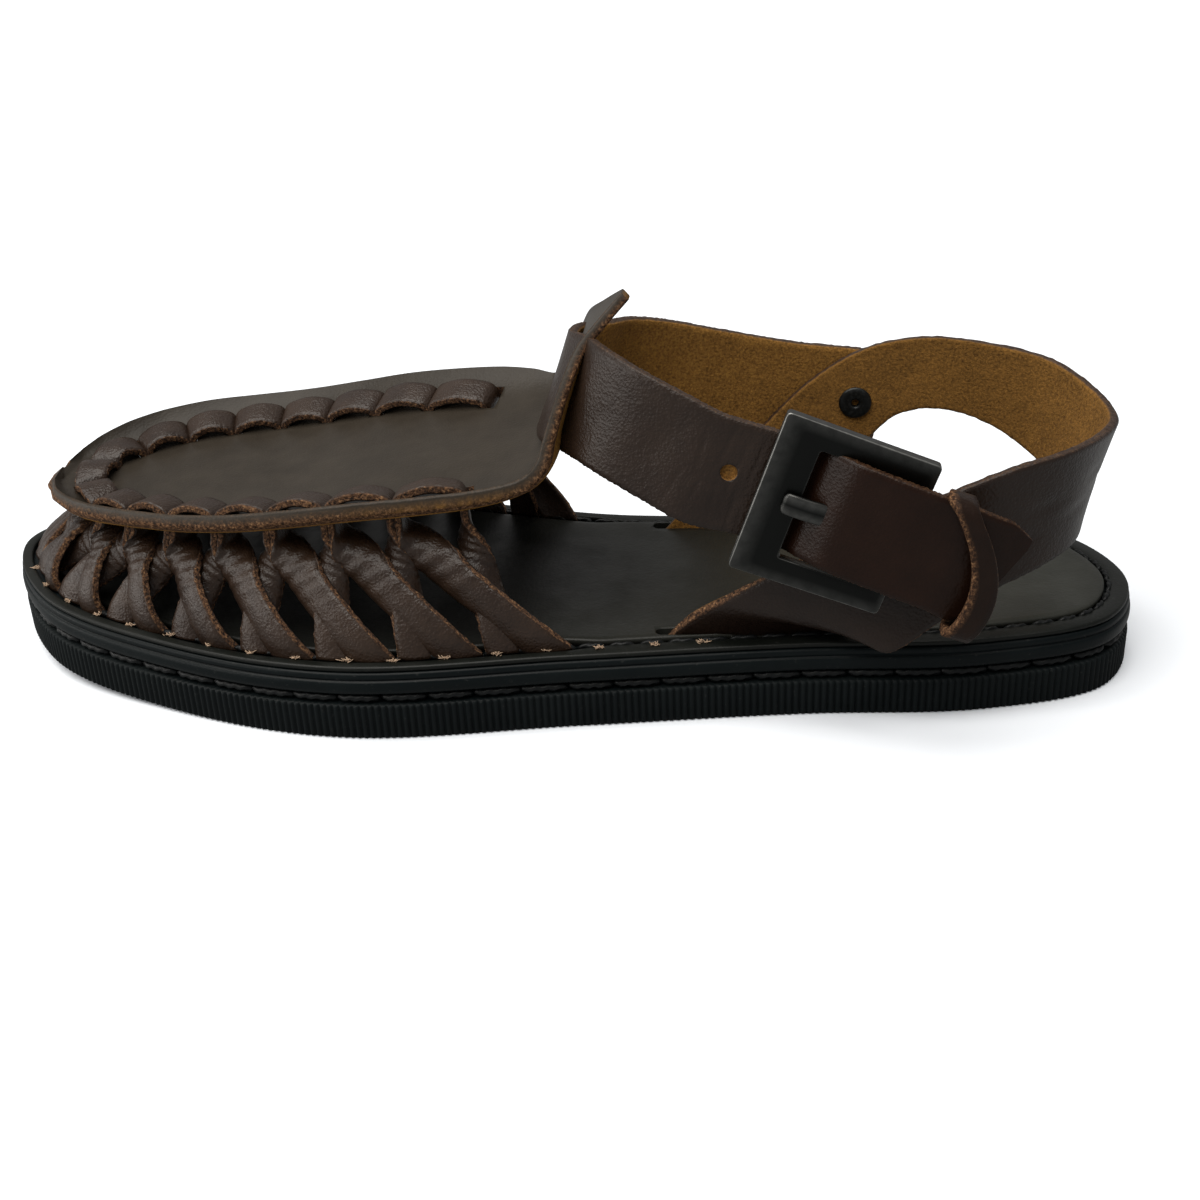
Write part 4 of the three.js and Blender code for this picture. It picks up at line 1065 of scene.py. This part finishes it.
def hole_rings(rows):
    """Rings of the punch, square to the strap."""
    turn = np.arange(24) * 2 * math.pi / 24
    spot, wide, out = min(rows, key=lambda row: abs((row[0] - BAR_CENTRE).dot(BUCKLE_AXIS) - HOLE_RUN))
    wide = unit(wide)
    circle = HOLE_RADIUS * (np.outer(np.cos(turn), np.cross(wide, out)) + np.outer(np.sin(turn), wide))
    return [spot + HOLE_SIDE * wide + circle + lift * out for lift in (HOLE_FLOOR, 3.0)]


def make_instep_strap():
    centre, lower, upper = instep_edges()
    rows = strap_rows(lower, upper, centre, 640)
    points, faces, raw, flesh = strip(rows, STRAP_THICKNESS, 21, 0.12, 47, creased(INSTEP_CREASES))
    made = piece("instep_strap_leather", points, faces, strap_leather, {"raw": raw, "flesh": flesh})
    # Past the front of the buckle the strap takes a smoother, darker copy of its leather: painted shade.
    end_leather_with_painted_shade = leather(
        "strap end leather with painted shade",
        deep=(0.0095, 0.0037, 0.0019, 1),
        pale=(0.0145, 0.0058, 0.0031, 1),
        rough=0.3,
        crease=140.0,
        relief=0.35,
        gloss=0.17,
        raw_share=0.25,
    )
    made.data.materials.append(end_leather_with_painted_shade)
    for face in made.data.polygons:
        face.material_index = int(min(face.vertices) > STRAP_END_SHARE * len(points))
    cut(made, *skin(hole_rings(rows)), raw_finish("punched leather", nap_group))
    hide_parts("instep_strap")


make_instep_strap()

# Keeper: a narrow leather loop sewn shut round the strap's end behind the buckle.
# It leans and bows with the strap, and its cut edge shows to the front.
KEEPER_TALL, KEEPER_DEEP = 14.45, 3.6  # halves of the loop
KEEPER_CORNER = 1.4
KEEPER_HALF_WIDTH, KEEPER_HALF_THICKNESS = 3, 1.05
KEEPER_RUN, KEEPER_LIFT = 12.6, 5.2  # its middle in the buckle's own line
KEEPER_SKEW = 0.36  # run of the loop for its height
KEEPER_BOW = 5.5  # its middle behind its ends
KEEPER_TILT = 0.085


def make_keeper():
    tall, deep, corner = KEEPER_TALL, KEEPER_DEEP, KEEPER_CORNER
    path = [  # side up along the bar, lift outward
        (-tall + corner, -deep),
        (-tall / 2, -deep),
        (0, -deep),
        (tall / 2, -deep),
        (tall - corner, -deep),
        (tall, -deep + corner),
        (tall, deep - corner),
        (tall - corner, deep),
        (tall / 2, deep + 0.3),
        (0, deep + 0.4),
        (-tall / 2, deep + 0.3),
        (-tall + corner, deep),
        (-tall, deep - corner),
        (-tall, -deep + corner),
    ]
    section = np.array([  # shares of its half width and half thickness
        (-1, -0.6), (-0.9, -1), (-0.4, -1), (0.4, -1), (0.9, -1), (1, -0.6),
        (1, 0.6), (0.9, 1), (0.4, 1), (-0.4, 1), (-0.9, 1), (-1, 0.6),
    ])
    raw_edges = np.where(section[:, 0] < -0.8, 0.7, np.where(section[:, 0] > 0.95, 0.25, 0.0))
    run, thick = section[:, 0] * KEEPER_HALF_WIDTH, section[:, 1] * KEEPER_HALF_THICKNESS
    t = np.arange(110) / 110
    spot = line_at(path, t, True)
    way = way_at(path, t, True)
    rings = []
    for (side, out), (up, outward) in zip(spot, np.stack([way[:, 1], -way[:, 0]], 1)):
        bow = KEEPER_BOW * (1 - (side / tall) ** 2)
        back = KEEPER_RUN + run - KEEPER_SKEW * side + bow
        lift = KEEPER_LIFT - KEEPER_TILT * run + out + thick * outward
        rings.append(in_buckle(back, side + thick * up, lift))
    # The keeper's leather is darker than the strap's, partly its own tone and partly painted shade.
    brown = leather(
        "keeper leather",
        deep=(0.0105, 0.0051, 0.0032, 1),
        pale=(0.015, 0.0075, 0.0048, 1),
        rough=0.36,
        crease=140.0,
        relief=0.35,
        gloss=0.16,
    )
    made = piece("keeper_loop", *skin(rings, loop=True), brown, {"raw": np.tile(raw_edges, len(rings))})
    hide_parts("strap_keeper")


make_keeper()

# Buckle frame: a flat rectangular frame stamped from steel and finished in gunmetal.
# Its edges are eased and lightened, as rubbed wear and painted highlight, and its rear bar carries the prong
# and the chape.
FRAME_LENGTH = 35
FRAME_HALF_HEIGHT = 19.2
FRAME_HALF_THICKNESS = 1.5
FRONT_BAR = 9.6
ARM_FRONT, ARM_REAR = 5.9, 6.2
BAR_RADIUS = 1.5
FRAME_BEVEL, FRAME_EDGE = 0.4, 0.12
FRAME_WEAR_AND_HIGHLIGHT = [0.1, 0.35, 1, 0.2, 0, 0, 0.4, 0.2, 0, 0, 0, 0]  # rubbed wear and painted edge highlight, round its section


def gunmetal(name, dark, worn):
    material, n, shader = surface(name)
    place = n.place()
    # The mark lightens the metal: rubbed wear and painted highlight on the edges.
    rub = n.math("MULTIPLY", n.mark("worn"), n.fade(n.noise(place, 420.0, 2.0), 0.3, 0.6, 0.6, 1.0))
    n.link(n.mix(rub, dark, worn), shader.inputs["Base Color"])
    brushed = n.noise(place, 900.0, 3.0)
    n.link(n.fade(brushed, 0.3, 0.7, 0.36, 0.46), shader.inputs["Roughness"])
    shader.inputs["Metallic"].default_value = 0.85
    bump(n, shader, brushed, 0.08, 0.0002)
    return material


def corner_loop(corners, radius, steps=5, side=7):
    """Points round a four-sided loop with rounded corners, the same count for every loop."""
    corners = np.array(corners, float)
    points = []
    for i, here in enumerate(corners):
        before = unit(corners[i - 1] - here)
        after = unit(corners[(i + 1) % 4] - here)
        for k in np.linspace(0, 1, steps):
            points.append(here + before * radius * (1 - k) ** 2 + after * radius * k**2)
        far = corners[(i + 1) % 4] - after * radius
        near = here + after * radius
        points += [near + (far - near) * k for k in np.linspace(0, 1, side)[1:-1]]
    return np.array(points)


gunmetal_finish = gunmetal("gunmetal", (0.009, 0.0097, 0.0092, 1), (0.24, 0.24, 0.23, 1))


def make_frame():
    half, thick, bevel, edge = FRAME_HALF_HEIGHT, FRAME_HALF_THICKNESS, FRAME_BEVEL, FRAME_EDGE
    rear = BAR_RADIUS
    front = rear - FRAME_LENGTH
    window = front + FRONT_BAR
    low, high = ARM_FRONT - half, half - ARM_FRONT
    rear_low, rear_high = ARM_REAR - half, half - ARM_REAR
    outer = corner_loop([(front, -half), (rear, -half + 0.5), (rear, half - 0.5), (front, half)], 1.1)
    inner = corner_loop([(window, low), (-rear, rear_low), (-rear, rear_high), (window, high)], 0.9)
    rings = []
    for o, i in zip(outer, inner):
        wide = np.linalg.norm(i - o)
        profile = np.array([  # from the outer to the inner edge, lift outward
            (0, bevel - thick),
            (0, thick - bevel),
            (edge, thick - edge),
            (bevel, thick),
            (wide / 2, thick),
            (wide - bevel, thick),
            (wide - edge, thick - edge),
            (wide, thick - bevel),
            (wide, bevel - thick),
            (wide - bevel, -thick),
            (wide / 2, -thick),
            (bevel, -thick),
        ])
        flat = o + np.outer(profile[:, 0], (i - o) / wide)
        rings.append(in_buckle(flat[:, 0], flat[:, 1], profile[:, 1]))
    marks = {"worn": np.tile(FRAME_WEAR_AND_HIGHLIGHT, len(rings))}
    made = piece("frame_of_buckle", *skin(rings, loop=True), gunmetal_finish, marks)
    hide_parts("buckle_frame")


make_frame()

# Prong: a flat steel pin in the same gunmetal, its eye looped round the rear bar of the buckle.
# It goes through the strap and lies down on the front bar.
PRONG = [  # run, lift of its middle, half width, half thickness
    (-27.6, 2.3, 1.3, 0.35),
    (-27.3, 2.45, 2.1, 0.6),
    (-26.8, 2.55, 2.45, 0.75),
    (-25, 2.65, 2.5, 0.8),
    (-21.4, 2.65, 2.5, 0.8),
    (-18.6, 2.3, 2.5, 0.8),
    (-16, 1.4, 2.3, 0.8),
    (-9, 0.9, 2.3, 0.85),
    (-3.5, 0.6, 2.3, 0.9),
    (-2.4, 0.3, 2.3, 0.9),
]
PRONG_EYE = [(2.0, -2.1), (3.0, -2.3), (3.05, 0), (3.0, 2.3), (2.0, 2.1), (1.95, 0)]  # radius, side
# Lightening of the prong's top edges: rubbed wear and painted highlight.
PRONG_WEAR_AND_HIGHLIGHT = 0.3


def make_prong():
    angle = np.arange(16) * 2 * math.pi / 16
    side = np.sign(np.cos(angle)) * np.abs(np.cos(angle)) ** 0.45
    high = np.sign(np.sin(angle)) * np.abs(np.sin(angle)) ** 0.45
    pin_rings = []
    for run, lift, wide, thick in PRONG:
        pin_rings.append(in_buckle(np.full(16, run), side * wide, lift + high * thick))
    pin = skin(pin_rings)
    turn = np.arange(24) * 2 * math.pi / 24
    eye_rings = [in_buckle(r * np.cos(turn), np.full(24, s), r * np.sin(turn)) for r, s in PRONG_EYE]
    eye = skin(eye_rings, loop=True)
    # Top edges lightened as rubbed wear and painted highlight.
    top_edge_wear_and_highlight = (np.abs(side) > 0.6) * (high > 0.2) * PRONG_WEAR_AND_HIGHLIGHT
    worn = np.concatenate([np.tile(top_edge_wear_and_highlight, len(PRONG)), np.zeros(len(eye[0]))])
    made = piece("prong_of_buckle", *joined_up([pin, eye]), gunmetal_finish, {"worn": worn})
    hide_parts("buckle_prong")


make_prong()

# Chape: a strip of thin strap leather folded round the rear bar of the buckle,
# both its ends riveted to the heel strap.
CHAPE_RADIUS = 3.1
CHAPE_THICKNESS = 1.6
CHAPE_HALF_WIDTH = 8
CHAPE_STATIONS = (8.8, 6, 3)  # run back of each end and on the way to the fold


def make_chape():
    fold = np.linspace(-math.pi / 2, -1.5 * math.pi, 13)
    path = [(run, -CHAPE_RADIUS) for run in CHAPE_STATIONS]
    path += [(CHAPE_RADIUS * math.cos(a), CHAPE_RADIUS * math.sin(a)) for a in fold]
    path += [(run, CHAPE_RADIUS) for run in CHAPE_STATIONS[::-1]]
    rows = []
    for (run, lift), (back, rise) in zip(path, unit(np.gradient(np.array(path), axis=0))):
        out = in_buckle(-rise, 0, back) - BAR_CENTRE
        rows.append((in_buckle(run, 0, lift), BUCKLE_SIDE * CHAPE_HALF_WIDTH, out))
    points, faces, raw, _ = strip(rows, CHAPE_THICKNESS, 7, 0.1, 3)
    made = piece("chape_fold", points, faces, strap_leather, {"raw": raw})
    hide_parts("buckle_chape")


make_chape()

# Rivets: black tubular rivets, each a domed ring with a hole in its middle, one through each side
# of the heel strap. The far one holds the instep strap and has a domed cap, the near one holds the chape.
RIVET_HEAD = [  # place along from the head's seat, radius
    (1.6, 0.1), (1.2, 0.85), (-0.35, 0.95), (-0.7, 1.15), (-0.85, 1.7), (-0.7, 2.5),
    (-0.72, 2.9), (-0.55, 3.8), (-0.3, 4.2), (0, 4.3), (0.05, 4.1), (0.05, 1.6),
]
RIVET_CAP = [(0, 1.6), (0, 3.3), (0.3, 3.4), (0.6, 3.1), (0.95, 2.1), (1.1, 0.8), (1.12, 0.1)]
RIVET_END = [(0, 1.6), (0, 0.2)]
RIVET_SIDES = 40


def black_rivet_finish():
    material, n, shader = surface("black rivet")
    rub = n.fade(n.noise(n.place(), 1200.0, 4.0), 0.5, 0.8)
    n.link(n.mix(rub, (0.004, 0.005, 0.005, 1), (0.03, 0.032, 0.032, 1)), shader.inputs["Base Color"])
    shader.inputs["Metallic"].default_value = 0.4
    shader.inputs["Roughness"].default_value = 0.38
    bump(n, shader, rub, 0.1, 0.0002)
    return material


def make_rivet(name, node, spot, axis, seat, top, end):
    """A rivet from its head, at seat along its axis, to its end, at top."""
    side = unit(np.cross(UP, axis))
    other = np.cross(axis, side)
    turn = np.arange(RIVET_SIDES) * 2 * math.pi / RIVET_SIDES
    circle = np.outer(np.cos(turn), side) + np.outer(np.sin(turn), other)
    rows = [(seat + at, radius) for at, radius in RIVET_HEAD] + [(top + at, radius) for at, radius in end]
    made = piece(name, *skin([spot + axis * at + circle * radius for at, radius in rows]), black_rivet)
    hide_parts(node)


black_rivet = black_rivet_finish()
FAR_RIVET = np.array([78.7, 37.6, 51.6])
make_rivet("rivet_inner_side", "rivet_far", FAR_RIVET, np.array([0.0, 1.0, 0.0]), -2.6, 4.95, RIVET_CAP)
make_rivet("rivet_outer_side", "rivet_near", in_buckle(5.8, 0, 0), BUCKLE_OUT, -8.8, 3.0, RIVET_END)

# Studio: a plain pale floor and an even pale surround, in metres. A broad soft light stands overhead,
# a faint panel behind and a panel off the toe. Floor and surround look white but send little light back.
FLOOR_HALF = 6
corners = [(-FLOOR_HALF, -FLOOR_HALF, 0), (FLOOR_HALF, -FLOOR_HALF, 0)]
corners += [(FLOOR_HALF, FLOOR_HALF, 0), (-FLOOR_HALF, FLOOR_HALF, 0)]
floor_mesh = bpy.data.meshes.new("floor")
floor_mesh.from_pydata(corners, [], [(0, 1, 2, 3)])
floor_finish, n, shader = surface("pale floor")
seen = n.add("ShaderNodeLightPath").outputs["Is Camera Ray"]
n.link(n.mix(seen, (0.3, 0.31, 0.32, 1), (0.9, 0.94, 1.0, 1)), shader.inputs["Base Color"])
shader.inputs["Roughness"].default_value = 0.9
shader.inputs["Specular IOR Level"].default_value = 0.1
floor_mesh.materials.append(floor_finish)
floor = bpy.data.objects.new("floor", floor_mesh)
bpy.context.scene.collection.objects.link(floor)

world = bpy.data.worlds.new("surround")
bpy.context.scene.world = world
world.use_nodes = True
background = world.node_tree.nodes["Background"]
background.inputs["Color"].default_value = (1, 1, 1, 1)
air = Nodes(world.node_tree)
seen = air.add("ShaderNodeLightPath").outputs["Is Camera Ray"]
air.link(air.fade(seen, 0, 1, 0.28, 1.0), background.inputs["Strength"])


def lamp(name, kind, energy, colour, turn):
    """A light, and the object that carries it."""
    light = bpy.data.lights.new(name, kind)
    light.energy = energy
    light.color = colour
    carrier = bpy.data.objects.new(name, light)
    carrier.rotation_euler = turn
    bpy.context.scene.collection.objects.link(carrier)
    return light, carrier


def panel(name, wide, high, energy, colour, spot, turn):
    """A flat panel of light that the camera doesn't see."""
    light, carrier = lamp(name, "AREA", energy, colour, turn)
    light.shape = "RECTANGLE"
    light.size = wide
    light.size_y = high
    carrier.location = spot
    carrier.visible_camera = False


overhead, _ = lamp("overhead", "SUN", 3.6, (1, 0.965, 0.91), (math.radians(12), math.radians(-14), 0))
overhead.angle = math.radians(60)
panel("back_panel", 2.6, 0.9, 0.8, (1, 0.95, 0.87), (0, 1.3, 0.75), (math.radians(-62), 0, 0))
toe_turn = Vector((-1.25, -0.38, 0.26)).to_track_quat("Z", "Y").to_euler()
panel("toe_panel", 1.5, 0.6, 8, (1, 0.97, 0.93), (-1.25, -0.38, 0.31), toe_turn)

lens = bpy.data.cameras.new("camera")
lens.sensor_width = 36
lens.lens = 45.7
camera = bpy.data.objects.new("camera", lens)
right = (0.9939, 0.1021, -0.0407)
above = (-0.0098, 0.4509, 0.8925)
behind = (0.1095, -0.8867, 0.4492)
spot = (0.0562, -0.35125, 0.1892)
camera.matrix_world = Matrix([(right[i], above[i], behind[i], spot[i]) for i in range(3)] + [(0, 0, 0, 1)])
bpy.context.scene.collection.objects.link(camera)
bpy.context.scene.camera = camera
bpy.context.scene.view_settings.view_transform = "Standard"
